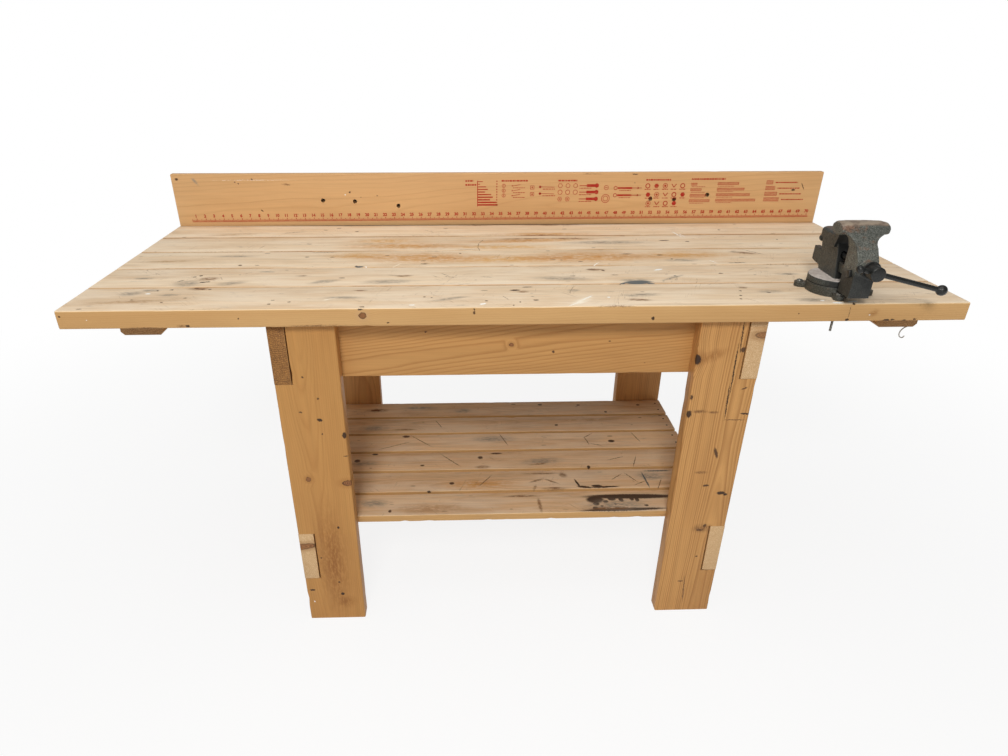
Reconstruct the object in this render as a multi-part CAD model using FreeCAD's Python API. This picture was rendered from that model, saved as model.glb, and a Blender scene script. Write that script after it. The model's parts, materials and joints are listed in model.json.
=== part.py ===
import FreeCAD, Part
import math
import os

# Woodworking bench of planed construction lumber with a swivelling metal bench vise.
# Units are millimetres, +Z is up, +X is the bench's right, the front faces -Y.
# Lengths "above the bench top" belong to the vise, whose own axes are:
# u = towards the handle, v = to the right, w = up from the bench top.

os.makedirs("parts", exist_ok=True)

V = FreeCAD.Vector

# ---------------------------------------------------------------- driving dimensions
bench_length = 1828.8
bench_height = 851.0
two_by = 38.1            # thickness of the heavy boards
six_wide = 139.7         # width of a two-by-six
four_wide = 88.9         # width of a two-by-four or one-by-four
one_by = 19.05           # thickness of the light boards
ease = 3.0               # rounded long edges of the lumber
shelf_ease = 1.5         # bevelled long edges of the shelf boards

plank_gap = 0.8          # ordinary joint between top planks
plank_gap_wide = 2.2     # the widest joint, behind the middle plank
plank_count = 5

leg_outer = 518.2        # outer faces of the legs from the bench's middle
leg_setback = 24.6       # front face of the front legs behind the front edge
lower_rail_top = 275.2   # shelf bearing height
shelf_count = 6
shelf_clear = 3.3        # from the front legs to the first shelf board
shelf_clear_back = 7.1   # from the last shelf board to the back legs

cleat_left_in = 85.1     # cleats in from the bench's ends
cleat_right_in = 53.0
cleat_setback = 63.0
cleat_bevel = 7.0
hook_in = 75.5           # wire hook from the right cleat's left edge
hook_setback = 12.0      # and behind its front end
wire_r = 1.2
hook_bore_r = 1.3
hook_shank = 16.0        # screwed into the cleat

board_tall = 184.15      # backboard, a one-by-eight
board_rise = 140.2       # backboard above the bench top
peg_radius = 5.2         # holes drilled part way into the backboard's face
peg_depth = 16.0

nail_head_r = 3.2
nail_head_t = 1.2
nail_r = 1.6
nail_long = 48.0
nail_sink_r = 3.3
nail_bore_r = 1.7
nail_sides = 5
nail_shares = (0.27, 0.73)   # nails across each shelf board

screw_head_r = 4.4
screw_head_t = 3.0
screw_r = 2.2
screw_bore_r = 2.3
cleat_screw_long = 63.0
apron_screw_long = 63.0
rail_screw_long = 76.0
board_screw_long = 51.0
screw_edge = 35.0        # screws in from the edges of a six-wide board
screw_in = 40.0          # apron screws in from the leg's inner edge
board_screw_in = 74.4    # outer backboard screws in from its ends
board_screw_count = 6

# vise, placed from the bench's right end and the top's front edge
vise_in = 244.9
vise_y = 87.4
vise_turn = 2.0          # degrees the vise stands swivelled on its base
base_r = 54.4
base_high = 20.8
disc_r = 54.0
disc_top = 33.5
rim_bevel = 1.0          # broken upper rims of the base and the disc
rim_sides = 40
lug_circle = 66.0
lug_r = 10.7
lug_high = 10.7
lug_first = 74.0         # direction of the first lug, degrees from +X
lug_spread = 77.0        # from one lug to the next, then the rest of a half turn
lag_r = 2.5              # screws that hold the vise down
lag_bore_r = 2.7
lag_head_r = 7.0
lag_head_high = 4.2
lag_below = 34.0         # short screws end this far below the bench top
long_below = 68.0        # the long front one runs right through
washer_r = 8.7
washer_t = 1.4
nut_flat = 9.5
nut_high = 4.0
pivot_r = 6.0
swivel_gap = 0.06        # radial clearance of the swivel pivot
pivot_head_r = 13.0
pivot_head_t = 7.0
pivot_into_body = 20.0

body_half = 17.3         # half thickness of the upright
deck_top = 114.0
deck_front = 11.4
deck_back = -78.0
deck_corner = 16.0
nub_r = 4.6               # cast stud on the rear edge
nub_w = 91.0
tail_top = 74.4
tail_back = -84.5
tail_low = 44.5
foot_front = 31.8
foot_back = -46.0
grip_u = 28.2            # gripping face of the fixed jaw plate
head_half = 24.0         # half width of the fixed jaw's head
head_top = 150.3

jaw_gap = 0.8            # opening between the plates as drawn
jaw_half = 47.0          # half width of the moving jaw's head
jaw_w = 142.7            # middle of the head's oval section
jaw_half_deep = 21.8
jaw_half_tall = 11.8
neck_half = 20.8
neck_back = 61.5
skirt_low = 17.2
skirt_front = 107.0
neck_front = 109.2
neck_bend = 91.4
throat_deep = 14.0       # arch under the head, facing the body
throat_tall = 20.0
flare_wide = 12.0        # flare from the neck out to the head
flare_tall = 19.0

oval_sides = 24          # facets of the oval castings

plate_half = 23.0
plate_low = 134.5
plate_high = 152.0
plate_t = 4.5
plate_proud = 0.5
tooth_pitch = 5.6
tooth_deep = 0.6

bar_half = 11.0          # guide bar under the screw
bar_low = 48.0
bar_top = 67.0
bar_back = -81.0
bar_into_jaw = 99.0
set_u = 92.0             # set screw that grips the bar
set_w = 63.0
set_r = 3.0
set_square = 13.5
bar_slip = 0.3           # sliding clearance of the bar in the body

screw_axis = 79.2
screw_major = 7.1
screw_root = 6.0
thread_pitch = 6.0
thread_sides = 8
thread_start = -66.0
thread_end = 54.0
shaft_slip = 0.08        # radial clearance of the shaft in the jaw
nut_bore = 7.4
nut_r = 10.0
nut_from = -34.0
nut_to = 16.0
boss_r = 15.7
boss_end = 124.5
flange_r = 17.8
flange_t = 3.5
knob_r = 14.2            # cross-drilled head of the screw
knob_end = 154.5
knob_sides = 20
collar_gap = 0.2
ring_r = 11.8
ring_t = 6.0
ring_slip = 0.15

handle_u = 141.0
handle_r = 5.0
handle_slip = 0.06
handle_tilt = -13.8      # right end lower
handle_left = 31.5
handle_right = 140.2
ball_left_r = 7.7
ball_right_r = 10.3
ball_steps = 7

# ---------------------------------------------------------------- derived placement
top_low = bench_height - two_by
top_depth = plank_count * six_wide + 3 * plank_gap + plank_gap_wide
back_face = top_depth + one_by
turn = math.radians(vise_turn)
tilt = math.radians(handle_tilt)
ball_reach = handle_u * math.cos(turn) + handle_right * math.cos(tilt) * math.sin(turn) + ball_right_r
knob_reach = knob_end * math.cos(turn) + knob_r * math.sin(turn)
front_reach = max(ball_reach, knob_reach) - vise_y
y_mid = (back_face - front_reach) / 2.0
x_mid = bench_length / 2.0
vise_x = x_mid - vise_in
cleat_left_x = cleat_left_in - x_mid
cleat_right_x = x_mid - cleat_right_in - four_wide
board_screw_reach = x_mid - board_screw_in
apron_front = leg_setback + two_by
apron_back_face = top_depth - two_by
shelf_first = apron_front + shelf_clear
shelf_last = apron_back_face - shelf_clear_back - four_wide
shelf_pitch = (shelf_last - shelf_first) / (shelf_count - 1)
hook_x = cleat_right_x + hook_in
skirt_back = neck_back - 1.5


# ---------------------------------------------------------------- helpers
def block(x0, x1, y0, y1, z0, z1):
    return Part.makeBox(x1 - x0, y1 - y0, z1 - z0, V(x0, y0 - y_mid, z0))


def board(x0, x1, y0, y1, z0, z1, along, radius=ease, chords=3):
    # a board with its four long edges rounded in a few chords; "along" is the index of the long axis
    low = V(x0, y0 - y_mid, z0)
    size = (x1 - x0, y1 - y0, z1 - z0)
    wide = size[(along + 1) % 3]
    thick = size[(along + 2) % 3]
    points = []
    for corner, (a, b) in enumerate(((wide, thick), (0.0, thick), (0.0, 0.0), (wide, 0.0))):
        centre_a = a - radius if a > 0 else radius
        centre_b = b - radius if b > 0 else radius
        for step in range(chords + 1):
            angle = math.radians(90.0 * corner + 90.0 * step / chords)
            points.append((centre_a + radius * math.cos(angle), centre_b + radius * math.sin(angle)))
    corners = []
    for a, b in points + points[:1]:
        place = [0.0, 0.0, 0.0]
        place[(along + 1) % 3] = a
        place[(along + 2) % 3] = b
        corners.append(low + V(*place))
    run = [0.0, 0.0, 0.0]
    run[along] = size[along]
    return Part.Face(Part.makePolygon(corners)).extrude(V(*run))


def rod(radius, start, run, length):
    return Part.makeCylinder(radius, length, start, run)


def prism(radius, start, run, length, end_radius=None, sides=6):
    # small fastener shank or its bore, with flat sides to keep the facet count down
    end_radius = radius if end_radius is None else end_radius
    rings = []
    for size, height in ((radius, 0.0), (end_radius, length)):
        corners = []
        for step in range(sides):
            angle = 2.0 * math.pi * step / sides
            corners.append(V(size * math.cos(angle), size * math.sin(angle), height))
        rings.append(corners)
    faces = [Part.Face(Part.makePolygon(ring + ring[:1])) for ring in rings]
    for step in range(sides):
        after = (step + 1) % sides
        quad = [rings[0][step], rings[0][after], rings[1][after], rings[1][step], rings[0][step]]
        faces.append(Part.Face(Part.makePolygon(quad)))
    solid = Part.Solid(Part.Shell(faces))
    if solid.Volume < 0:
        solid.reverse()
    solid.Placement = FreeCAD.Placement(start, FreeCAD.Rotation(V(0, 0, 1), run))
    return solid


def turned(outline, sides):
    # body of revolution about the u axis, faceted; outline points are (u, radius)
    rings = []
    for u, radius in outline:
        corners = []
        for step in range(sides):
            angle = 2.0 * math.pi * step / sides
            corners.append(V(u, radius * math.cos(angle), radius * math.sin(angle)))
        rings.append(corners)
    faces = [Part.Face(Part.makePolygon(ring + ring[:1])) for ring in (rings[0], rings[-1])]
    for first, second in zip(rings[:-1], rings[1:]):
        for step in range(sides):
            after = (step + 1) % sides
            quad = [first[step], first[after], second[after], second[step], first[step]]
            faces.append(Part.Face(Part.makePolygon(quad)))
    solid = Part.Solid(Part.Shell(faces))
    if solid.Volume < 0:
        solid.reverse()
    return solid


def save(shape, name):
    shape.exportStep("parts/" + name + ".step")


def grouped(solids):
    return Part.makeCompound(solids)


def profile_uw(points, half):
    # side outline in the vise's u-w plane, thickened to both sides
    wire = Part.makePolygon([V(u, -half, w) for u, w in points + points[:1]])
    return Part.Face(wire).extrude(V(0, 2.0 * half, 0))


def placed(shape):
    # from the vise's own axes (u, v, w) to the bench
    moved = shape.copy()
    moved.rotate(V(0, 0, 0), V(0, 0, 1), -90.0 - vise_turn)
    moved.translate(V(vise_x, vise_y - y_mid, bench_height))
    return moved


def hexagon(flat, high, centre):
    radius = flat / math.sqrt(3.0)
    corners = []
    for step in range(7):
        angle = math.radians(60.0 * step + 15.0)
        corners.append(centre + V(radius * math.cos(angle), radius * math.sin(angle), 0))
    return Part.Face(Part.makePolygon(corners)).extrude(V(0, 0, high))


def wood_screw(start, run, length):
    # flat head at the start point, shank along the run
    head = prism(screw_head_r, start, run, screw_head_t, screw_r)
    shank = prism(screw_r, start + run * screw_head_t, run, length - screw_head_t)
    return head.fuse(shank).removeSplitter()


def screw_seat(start, run, length):
    head = prism(screw_head_r + 0.05, start - run * 0.05, run, screw_head_t + 0.05, screw_bore_r)
    shank = prism(screw_bore_r, start, run, length + 1.0)
    return head.fuse(shank).removeSplitter()


# ---------------------------------------------------------------- vise fasteners on the bench
vise_centre = V(vise_x, vise_y - y_mid, bench_height)
lug_angles = [lug_first, lug_first + lug_spread, lug_first + 180.0, lug_first + 180.0 + lug_spread]
lug_points = []
for angle in lug_angles:
    lug_angle = math.radians(angle)
    lug_offset = V(lug_circle * math.cos(lug_angle), lug_circle * math.sin(lug_angle), 0)
    lug_points.append(vise_centre + lug_offset)


def round_head_screw(point, below):
    # low domed head on the lug, shank down through the bench top
    seat = point + V(0, 0, lug_high)
    rim = prism(lag_head_r, seat, V(0, 0, 1), 1.4, sides=12)
    dome = prism(lag_head_r, seat + V(0, 0, 1.4), V(0, 0, 1), lag_head_high - 1.4, lag_head_r * 0.5, 12)
    shank = prism(lag_r, point - V(0, 0, below), V(0, 0, 1), below + lug_high, sides=8)
    slot = Part.makeBox(1.4, 3.0 * lag_head_r, 3.0, V(-0.7, -1.5 * lag_head_r, 0))
    slot.rotate(V(0, 0, 0), V(0, 0, 1), 35.0)
    slot.translate(seat + V(0, 0, lag_head_high - 1.2))
    return rim.fuse(dome).fuse(shank).cut(slot)


# the lug at the front left carries the long bolt
front_lug = lug_points[2]
bolt_bores = []
short_screws = []
for point in lug_points:
    depth = long_below + 5.0 if point is front_lug else lag_below + 1.0
    bolt_bores.append(prism(lag_bore_r, point - V(0, 0, depth), V(0, 0, 1), depth + 40.0, sides=8))
    if point is not front_lug:
        short_screws.append(round_head_screw(point, lag_below))
save(grouped(short_screws), "vise_mount_screws")
save(round_head_screw(front_lug, long_below), "vise_long_bolt")
under = front_lug - V(0, 0, two_by)
long_nut = prism(washer_r, under - V(0, 0, washer_t), V(0, 0, 1), washer_t, sides=16)
long_nut = long_nut.fuse(hexagon(nut_flat, nut_high, under - V(0, 0, washer_t + nut_high)))
long_nut = long_nut.cut(prism(lag_r + 0.05, under - V(0, 0, 20), V(0, 0, 1), 30, sides=8))
save(long_nut, "vise_long_bolt_nut")

# ---------------------------------------------------------------- screws of the frame
cleat_screws = []
cleat_seats = []
plank_y = []
front = 0.0
for index in range(plank_count):
    plank_y.append(front)
    front += six_wide + (plank_gap_wide if index == 2 else plank_gap)

for left in (cleat_left_x, cleat_right_x):
    for start_y in plank_y:
        middle_y = start_y + six_wide / 2.0 - y_mid
        seat = V(left + four_wide / 2.0, middle_y, top_low - two_by)
        cleat_screws.append(wood_screw(seat, V(0, 0, 1), cleat_screw_long))
        cleat_seats.append(screw_seat(seat, V(0, 0, 1), cleat_screw_long))
save(grouped(cleat_screws), "cleat_screws")

apron_screws = []
apron_seats = []
rail_screws = []
rail_seats = []
leg_inner = leg_outer - six_wide
for side in (-1, 1):
    for drop in (screw_edge, six_wide - screw_edge):
        x_in = side * (leg_inner + screw_in)
        z_in = top_low - drop
        near = V(x_in, apron_front + two_by - y_mid, z_in)
        apron_screws.append(wood_screw(near, V(0, -1, 0), apron_screw_long))
        apron_seats.append(screw_seat(near, V(0, -1, 0), apron_screw_long))
        far = V(x_in, apron_back_face - two_by - y_mid, z_in)
        apron_screws.append(wood_screw(far, V(0, 1, 0), apron_screw_long))
        apron_seats.append(screw_seat(far, V(0, 1, 0), apron_screw_long))
        for y_leg in (leg_setback + two_by / 2.0, top_depth - two_by / 2.0):
            for z_rail in (top_low - drop, lower_rail_top - drop):
                seat = V(side * leg_outer, y_leg - y_mid, z_rail)
                rail_screws.append(wood_screw(seat, V(-side, 0, 0), rail_screw_long))
                rail_seats.append(screw_seat(seat, V(-side, 0, 0), rail_screw_long))
save(grouped(apron_screws), "apron_screws")
save(grouped(rail_screws), "end_rail_screws")

board_screws = []
board_seats = []
for step in range(board_screw_count):
    x_screw = board_screw_reach * (2.0 * step / (board_screw_count - 1) - 1.0)
    seat = V(x_screw, back_face - y_mid, bench_height - two_by / 2.0)
    board_screws.append(wood_screw(seat, V(0, -1, 0), board_screw_long))
    board_seats.append(screw_seat(seat, V(0, -1, 0), board_screw_long))
save(grouped(board_screws), "backboard_screws")

# ---------------------------------------------------------------- top planks
for index in range(plank_count):
    y0 = plank_y[index]
    plank = board(-x_mid, x_mid, y0, y0 + six_wide, top_low, bench_height, 0)
    for seat in cleat_seats:
        plank = plank.cut(seat)
    if index < 2:
        for bore in bolt_bores:
            if plank.distToShape(bore)[0] < 0.001:
                plank = plank.cut(bore)
    if index == plank_count - 1:
        for seat in board_seats:
            plank = plank.cut(seat)
    save(plank, "top_plank_%d" % (index + 1))

# ---------------------------------------------------------------- end rails, aprons and legs
rail_inner = leg_outer - two_by
lower_rail_low = lower_rail_top - six_wide
top_rail_low = top_low - six_wide

nails = []
nail_bores = []
for index in range(shelf_count):
    shelf_y = shelf_first + index * shelf_pitch
    for side in (-1, 1):
        for across in nail_shares:
            head_at = V(side * (leg_outer - two_by / 2.0), shelf_y + four_wide * across - y_mid, 0)
            surface = head_at + V(0, 0, lower_rail_top + one_by)
            under_head = surface - V(0, 0, nail_head_t)
            point = surface - V(0, 0, nail_long)
            up = V(0, 0, 1)
            head = prism(nail_head_r, under_head, up, nail_head_t, sides=nail_sides)
            shank = prism(nail_r, point, up, nail_long - nail_head_t, sides=nail_sides)
            nails.append(head.fuse(shank))
            sink = prism(nail_sink_r, under_head, up, nail_head_t + 1.0, sides=nail_sides)
            bore = prism(nail_bore_r, point - V(0, 0, 0.5), up, nail_long + 1.0, sides=nail_sides)
            nail_bores.append(sink.fuse(bore))
save(grouped(nails), "shelf_nails")

for side, word in ((-1, "left"), (1, "right")):
    x0 = min(side * leg_outer, side * rail_inner)
    x1 = max(side * leg_outer, side * rail_inner)
    upper = block(x0, x1, leg_setback, top_depth, top_rail_low, top_low)
    lower = block(x0, x1, leg_setback, top_depth, lower_rail_low, lower_rail_top)
    for seat in rail_seats:
        upper = upper.cut(seat)
        lower = lower.cut(seat)
    for bore in nail_bores:
        lower = lower.cut(bore)
    save(upper, "top_end_rail_" + word)
    save(lower, "lower_end_rail_" + word)
    for y0, place in ((leg_setback, "front"), (top_depth - two_by, "back")):
        a = min(side * leg_outer, side * leg_inner)
        b = max(side * leg_outer, side * leg_inner)
        leg = board(a, b, y0, y0 + two_by, 0.0, top_low, 2)
        leg = leg.cut(block(x0, x1, y0 - 1, y0 + two_by + 1, top_rail_low, top_low + 1))
        leg = leg.cut(block(x0, x1, y0 - 1, y0 + two_by + 1, lower_rail_low, lower_rail_top))
        for seat in rail_seats + apron_seats:
            leg = leg.cut(seat)
        save(leg, "leg_" + place + "_" + word)

front_apron = board(-rail_inner, rail_inner, apron_front, apron_front + two_by, top_rail_low, top_low, 0)
back_apron = board(-rail_inner, rail_inner, apron_back_face - two_by, apron_back_face, top_rail_low, top_low, 0)
for seat in apron_seats:
    front_apron = front_apron.cut(seat)
    back_apron = back_apron.cut(seat)
save(front_apron, "front_apron")
save(back_apron, "back_apron")

# ---------------------------------------------------------------- shelf boards
for index in range(shelf_count):
    y0 = shelf_first + index * shelf_pitch
    shelf_top = lower_rail_top + one_by
    shelf = board(-leg_outer, leg_outer, y0, y0 + four_wide, lower_rail_top, shelf_top, 0, shelf_ease, 1)
    for bore in nail_bores:
        if bore.BoundBox.YMin > y0 - y_mid and bore.BoundBox.YMax < y0 + four_wide - y_mid:
            shelf = shelf.cut(bore)
    save(shelf, "shelf_board_%d" % (index + 1))

# ---------------------------------------------------------------- cleats under the overhangs
for left, word in ((cleat_left_x, "left"), (cleat_right_x, "right")):
    right = left + four_wide
    front_y = cleat_setback - y_mid
    low = top_low - two_by
    outline = [
        V(left + cleat_bevel, front_y, low),
        V(right - cleat_bevel, front_y, low),
        V(right, front_y, low + cleat_bevel),
        V(right, front_y, top_low),
        V(left, front_y, top_low),
        V(left, front_y, low + cleat_bevel),
        V(left + cleat_bevel, front_y, low),
    ]
    cleat = Part.Face(Part.makePolygon(outline)).extrude(V(0, top_depth - 2.0 * cleat_setback, 0))
    for seat in cleat_seats:
        cleat = cleat.cut(seat)
    if word == "right":
        hook_hole = V(hook_x, front_y + hook_setback, low - 1)
        hook_hole = prism(hook_bore_r, hook_hole, V(0, 0, 1), hook_shank + 3.0, sides=8)
        cleat = cleat.cut(hook_hole)
    save(cleat, "cleat_" + word)

# ---------------------------------------------------------------- backboard
board_top = bench_height + board_rise
backboard = block(-x_mid, x_mid, top_depth, back_face, board_top - board_tall, board_top)
for seat in board_seats:
    backboard = backboard.cut(seat)
peg_inches = (16.2, 19.7, 24.5, 52.8, 55.5, 59.2)
peg_rises = (68.1, 65.3, 52.6, 68.8, 66.8, 79.0)
for inch, rise in zip(peg_inches, peg_rises):
    start = V(inch * 25.4 - x_mid, top_depth - 1 - y_mid, bench_height + rise)
    backboard = backboard.cut(prism(peg_radius, start, V(0, 1, 0), peg_depth + 1, sides=12))
save(backboard, "backboard")

# ---------------------------------------------------------------- wire hook under the right cleat
hook_y = cleat_setback + hook_setback - y_mid
hook_z = top_low - two_by
shank_top = V(hook_x, hook_y, hook_z + hook_shank)
shank_end = V(hook_x, hook_y, hook_z - 2.0)
bend = V(hook_x - 9.0, hook_y, hook_z - 6.0)
swing = V(hook_x - 14.0, hook_y, hook_z - 15.0)
belly = V(hook_x - 13.0, hook_y, hook_z - 22.0)
bottom = V(hook_x - 8.0, hook_y, hook_z - 25.5)
tip = V(hook_x - 2.5, hook_y, hook_z - 22.0)
route = Part.makePolygon([shank_top, shank_end, bend, swing, belly, bottom, tip])
section = []
for step in range(9):
    angle = math.radians(45.0 * step)
    section.append(shank_top + V(wire_r * math.cos(angle), wire_r * math.sin(angle), 0))
pipe = Part.BRepOffsetAPI.MakePipeShell(route)
pipe.add(Part.makePolygon(section))
pipe.setTransitionMode(1)
pipe.build()
pipe.makeSolid()
hook = pipe.shape()
save(hook, "wire_hook")

# ---------------------------------------------------------------- vise base, fixed to the bench
base = prism(base_r, V(0, 0, 0), V(0, 0, 1), base_high - rim_bevel, sides=rim_sides)
base_rim = V(0, 0, base_high - rim_bevel)
base = base.fuse(prism(base_r, base_rim, V(0, 0, 1), rim_bevel, base_r - rim_bevel, rim_sides))
for angle in lug_angles:
    arm = Part.makeBox(lug_circle, 2.0 * lug_r, lug_high, V(0, -lug_r, 0))
    lug = arm.fuse(prism(lug_r, V(lug_circle, 0, 0), V(0, 0, 1), lug_high, sides=20))
    lug.rotate(V(0, 0, 0), V(0, 0, 1), angle)
    base = base.fuse(lug)
base = base.cut(rod(pivot_r + swivel_gap, V(0, 0, -1), V(0, 0, 1), base_high + 2))
base = base.cut(prism(pivot_head_r + 1.0, V(0, 0, -1), V(0, 0, 1), pivot_head_t + 1.4, sides=18))
base = base.removeSplitter()
base.translate(vise_centre)
for bore in bolt_bores:
    base = base.cut(bore)
save(base, "vise_base")

pivot_top = base_high + pivot_into_body
pivot = rod(pivot_r, V(0, 0, pivot_head_t), V(0, 0, 1), pivot_top - pivot_head_t)
pivot = pivot.fuse(hexagon(2.0 * pivot_head_r * 0.86, pivot_head_t, V(0, 0, 0.1)))
save(placed(pivot), "swivel_pivot_bolt")

# ---------------------------------------------------------------- fixed jaw body
upright = profile_uw([
    (foot_back, disc_top - 2.0),
    (foot_front, disc_top - 2.0),
    (foot_front, disc_top),
    (deck_front, deck_top),
    (deck_back, deck_top),
    (deck_back + 14.0, tail_top),
    (tail_back, tail_top),
    (tail_back - 1.0, tail_low),
    (foot_back - 3.5, tail_low - 4.5),
], body_half)
back_edges = []
for edge in upright.Edges:
    box = edge.BoundBox
    if box.XMax < deck_back + 15.0 and box.ZMin > tail_top - 0.1 and box.YLength < 0.01 and box.ZLength > 30.0:
        back_edges.append(edge)
upright = upright.makeFillet(deck_corner, back_edges)
disc = prism(disc_r, V(0, 0, base_high), V(0, 0, 1), disc_top - base_high - rim_bevel, sides=rim_sides)
disc_rim = V(0, 0, disc_top - rim_bevel)
disc = disc.fuse(prism(disc_r, disc_rim, V(0, 0, 1), rim_bevel, disc_r - rim_bevel, rim_sides))
plate_seat = grip_u - plate_t
head = profile_uw([
    (deck_front - 1.5, deck_top - 20.0),
    (plate_seat, plate_low - 8.0),
    (plate_seat, head_top),
    (14.0, head_top),
    (10.0, deck_top + 12.0),
    (-8.0, deck_top - 0.5),
    (-8.0, deck_top - 20.0),
], head_half)
crown = rod(60.0, V(-20.0, 0, head_top - 60.0), V(1, 0, 0), 60.0)
crown = crown.fuse(Part.makeBox(60.0, 2.0 * head_half, 70.0, V(-20.0, -head_half, 60.0)))
head = head.common(crown)
nub = prism(nub_r, V(deck_back + 20.0, 0, nub_w), V(-1, 0, 0), 27.0, sides=12)
body = upright.fuse(disc).fuse(head).fuse(nub)
tunnel = Part.makeBox(140.0, 2.0 * (bar_half + bar_slip), bar_top - bar_low + 2.0 * bar_slip)
tunnel.translate(V(tail_back - 5.0, -bar_half - bar_slip, bar_low - bar_slip))
body = body.cut(tunnel)
body = body.cut(prism(nut_r + 0.05, V(nut_from, 0, screw_axis), V(1, 0, 0), 80.0, sides=20))
body = body.cut(prism(screw_major + 0.8, V(-100.0, 0, screw_axis), V(1, 0, 0), 140.0, sides=20))
body = body.cut(rod(pivot_r + 0.03, V(0, 0, base_high - 1), V(0, 0, 1), pivot_into_body + 1.5))
plate_bolts = []
bolt_v = plate_half * 0.6
bolt_w = (plate_low + plate_high) / 2.0
for v in (-bolt_v, bolt_v):
    body = body.cut(prism(1.6, V(plate_seat - 8.0, v, bolt_w), V(1, 0, 0), 10.0))
body = body.removeSplitter()
save(placed(body), "vise_body")

# ---------------------------------------------------------------- threaded nut in the body
nut = prism(nut_r, V(nut_from, 0, screw_axis), V(1, 0, 0), nut_to - nut_from, sides=20)
nut = nut.cut(prism(nut_bore, V(nut_from - 1, 0, screw_axis), V(1, 0, 0), nut_to - nut_from + 2, sides=20))
save(placed(nut), "vise_nut")


# ---------------------------------------------------------------- serrated jaw plates
def jaw_plate(back_u, facing):
    # flat steel plate whose gripping face is cut with crossed grooves
    near = min(back_u, back_u + facing * plate_t)
    plate = Part.makeBox(plate_t, 2.0 * plate_half, plate_high - plate_low, V(near, -plate_half, plate_low))
    face_u = back_u + facing * plate_t
    count = int(plate_half / tooth_pitch)
    for step in range(-count, count + 1):
        v = step * tooth_pitch
        notch = Part.makePolygon([
            V(face_u + facing * 0.1, v - tooth_deep - 0.1, plate_low - 1),
            V(face_u + facing * 0.1, v + tooth_deep + 0.1, plate_low - 1),
            V(face_u - facing * tooth_deep, v, plate_low - 1),
            V(face_u + facing * 0.1, v - tooth_deep - 0.1, plate_low - 1),
        ])
        plate = plate.cut(Part.Face(notch).extrude(V(0, 0, plate_high - plate_low + 2)))
    rows = int((plate_high - plate_low) / (2.0 * tooth_pitch))
    for row in range(rows):
        w = plate_low + (row + 1) * (plate_high - plate_low) / (rows + 1.0)
        notch = Part.makePolygon([
            V(face_u + facing * 0.1, -plate_half - 1, w - tooth_deep - 0.1),
            V(face_u + facing * 0.1, -plate_half - 1, w + tooth_deep + 0.1),
            V(face_u - facing * tooth_deep, -plate_half - 1, w),
            V(face_u + facing * 0.1, -plate_half - 1, w - tooth_deep - 0.1),
        ])
        plate = plate.cut(Part.Face(notch).extrude(V(0, 2.0 * plate_half + 2, 0)))
    for v in (-bolt_v, bolt_v):
        plate = plate.cut(prism(1.6, V(near - 1, v, bolt_w), V(1, 0, 0), plate_t + 2))
        plate = plate.cut(plate_screw_head(face_u, facing, v))
    return plate


def plate_screw_head(face_u, facing, v):
    start = V(face_u - facing * (tooth_deep + 0.2), v, bolt_w)
    cone = prism(3.2, start, V(-facing, 0, 0), 2.2, 1.5)
    return cone.fuse(prism(3.2, start, V(facing, 0, 0), 2.0))


def plate_screw(face_u, facing, v):
    start = V(face_u - facing * (tooth_deep + 0.2), v, bolt_w)
    cone = prism(3.15, start, V(-facing, 0, 0), 2.2, 1.5)
    shank = prism(1.5, start - V(facing * 2.2, 0, 0), V(-facing, 0, 0), 8.0)
    slot = Part.makeBox(1.6, 0.9, 8.0, V(-0.8, -0.45, -4.0))
    slot.translate(start)
    return cone.fuse(shank).cut(slot)


moving_grip = grip_u + jaw_gap
moving_seat = moving_grip + plate_t
save(placed(jaw_plate(plate_seat, 1)), "jaw_plate_fixed")
save(placed(jaw_plate(moving_seat, -1)), "jaw_plate_moving")
fixed_screws = [plate_screw(grip_u, 1, v) for v in (-bolt_v, bolt_v)]
moving_screws = [plate_screw(moving_grip, -1, v) for v in (-bolt_v, bolt_v)]
save(placed(grouped(fixed_screws)), "jaw_plate_screws_fixed")
save(placed(grouped(moving_screws)), "jaw_plate_screws_moving")

# ---------------------------------------------------------------- moving jaw casting
jaw_back = moving_grip + plate_proud
jaw_u = jaw_back + jaw_half_deep
jaw_low = jaw_w - jaw_half_tall
flare_low = jaw_w - flare_tall - 4.0


def oval_points(half_a, half_b, count=oval_sides):
    points = []
    for step in range(count):
        angle = 2.0 * math.pi * step / count
        points.append((half_a * math.cos(angle), half_b * math.sin(angle)))
    return points


def oval_along_u(half_v, half_w, centre_v, centre_w):
    # long cutter of oval section along u
    points = [V(0, centre_v + v, centre_w + w) for v, w in oval_points(half_v, half_w)]
    return Part.Face(Part.makePolygon(points + points[:1])).extrude(V(200.0, 0, 0))


neck = profile_uw([
    (skirt_back, skirt_low),
    (skirt_front, skirt_low),
    (neck_front, neck_bend),
    (neck_front - 13.2, neck_bend + 19.9),
    (jaw_u + jaw_half_deep * 0.75, jaw_w - 6.0),
    (jaw_u - jaw_half_deep * 0.3, jaw_w),
    (neck_back - throat_deep, jaw_low + 1.5),
    (neck_back, jaw_low + 1.5),
], neck_half)
throat_u = neck_back - throat_deep
throat_w = jaw_low + 1.5 - throat_tall
throat_arch = [(throat_u + u, throat_w + w) for u, w in oval_points(throat_deep, throat_tall)]
throat = profile_uw(throat_arch, neck_half + 1.0)
web = Part.makeBox(throat_deep, 2.0 * neck_half, throat_tall, V(throat_u, -neck_half, throat_w))
neck = neck.fuse(web.cut(throat))

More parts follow.
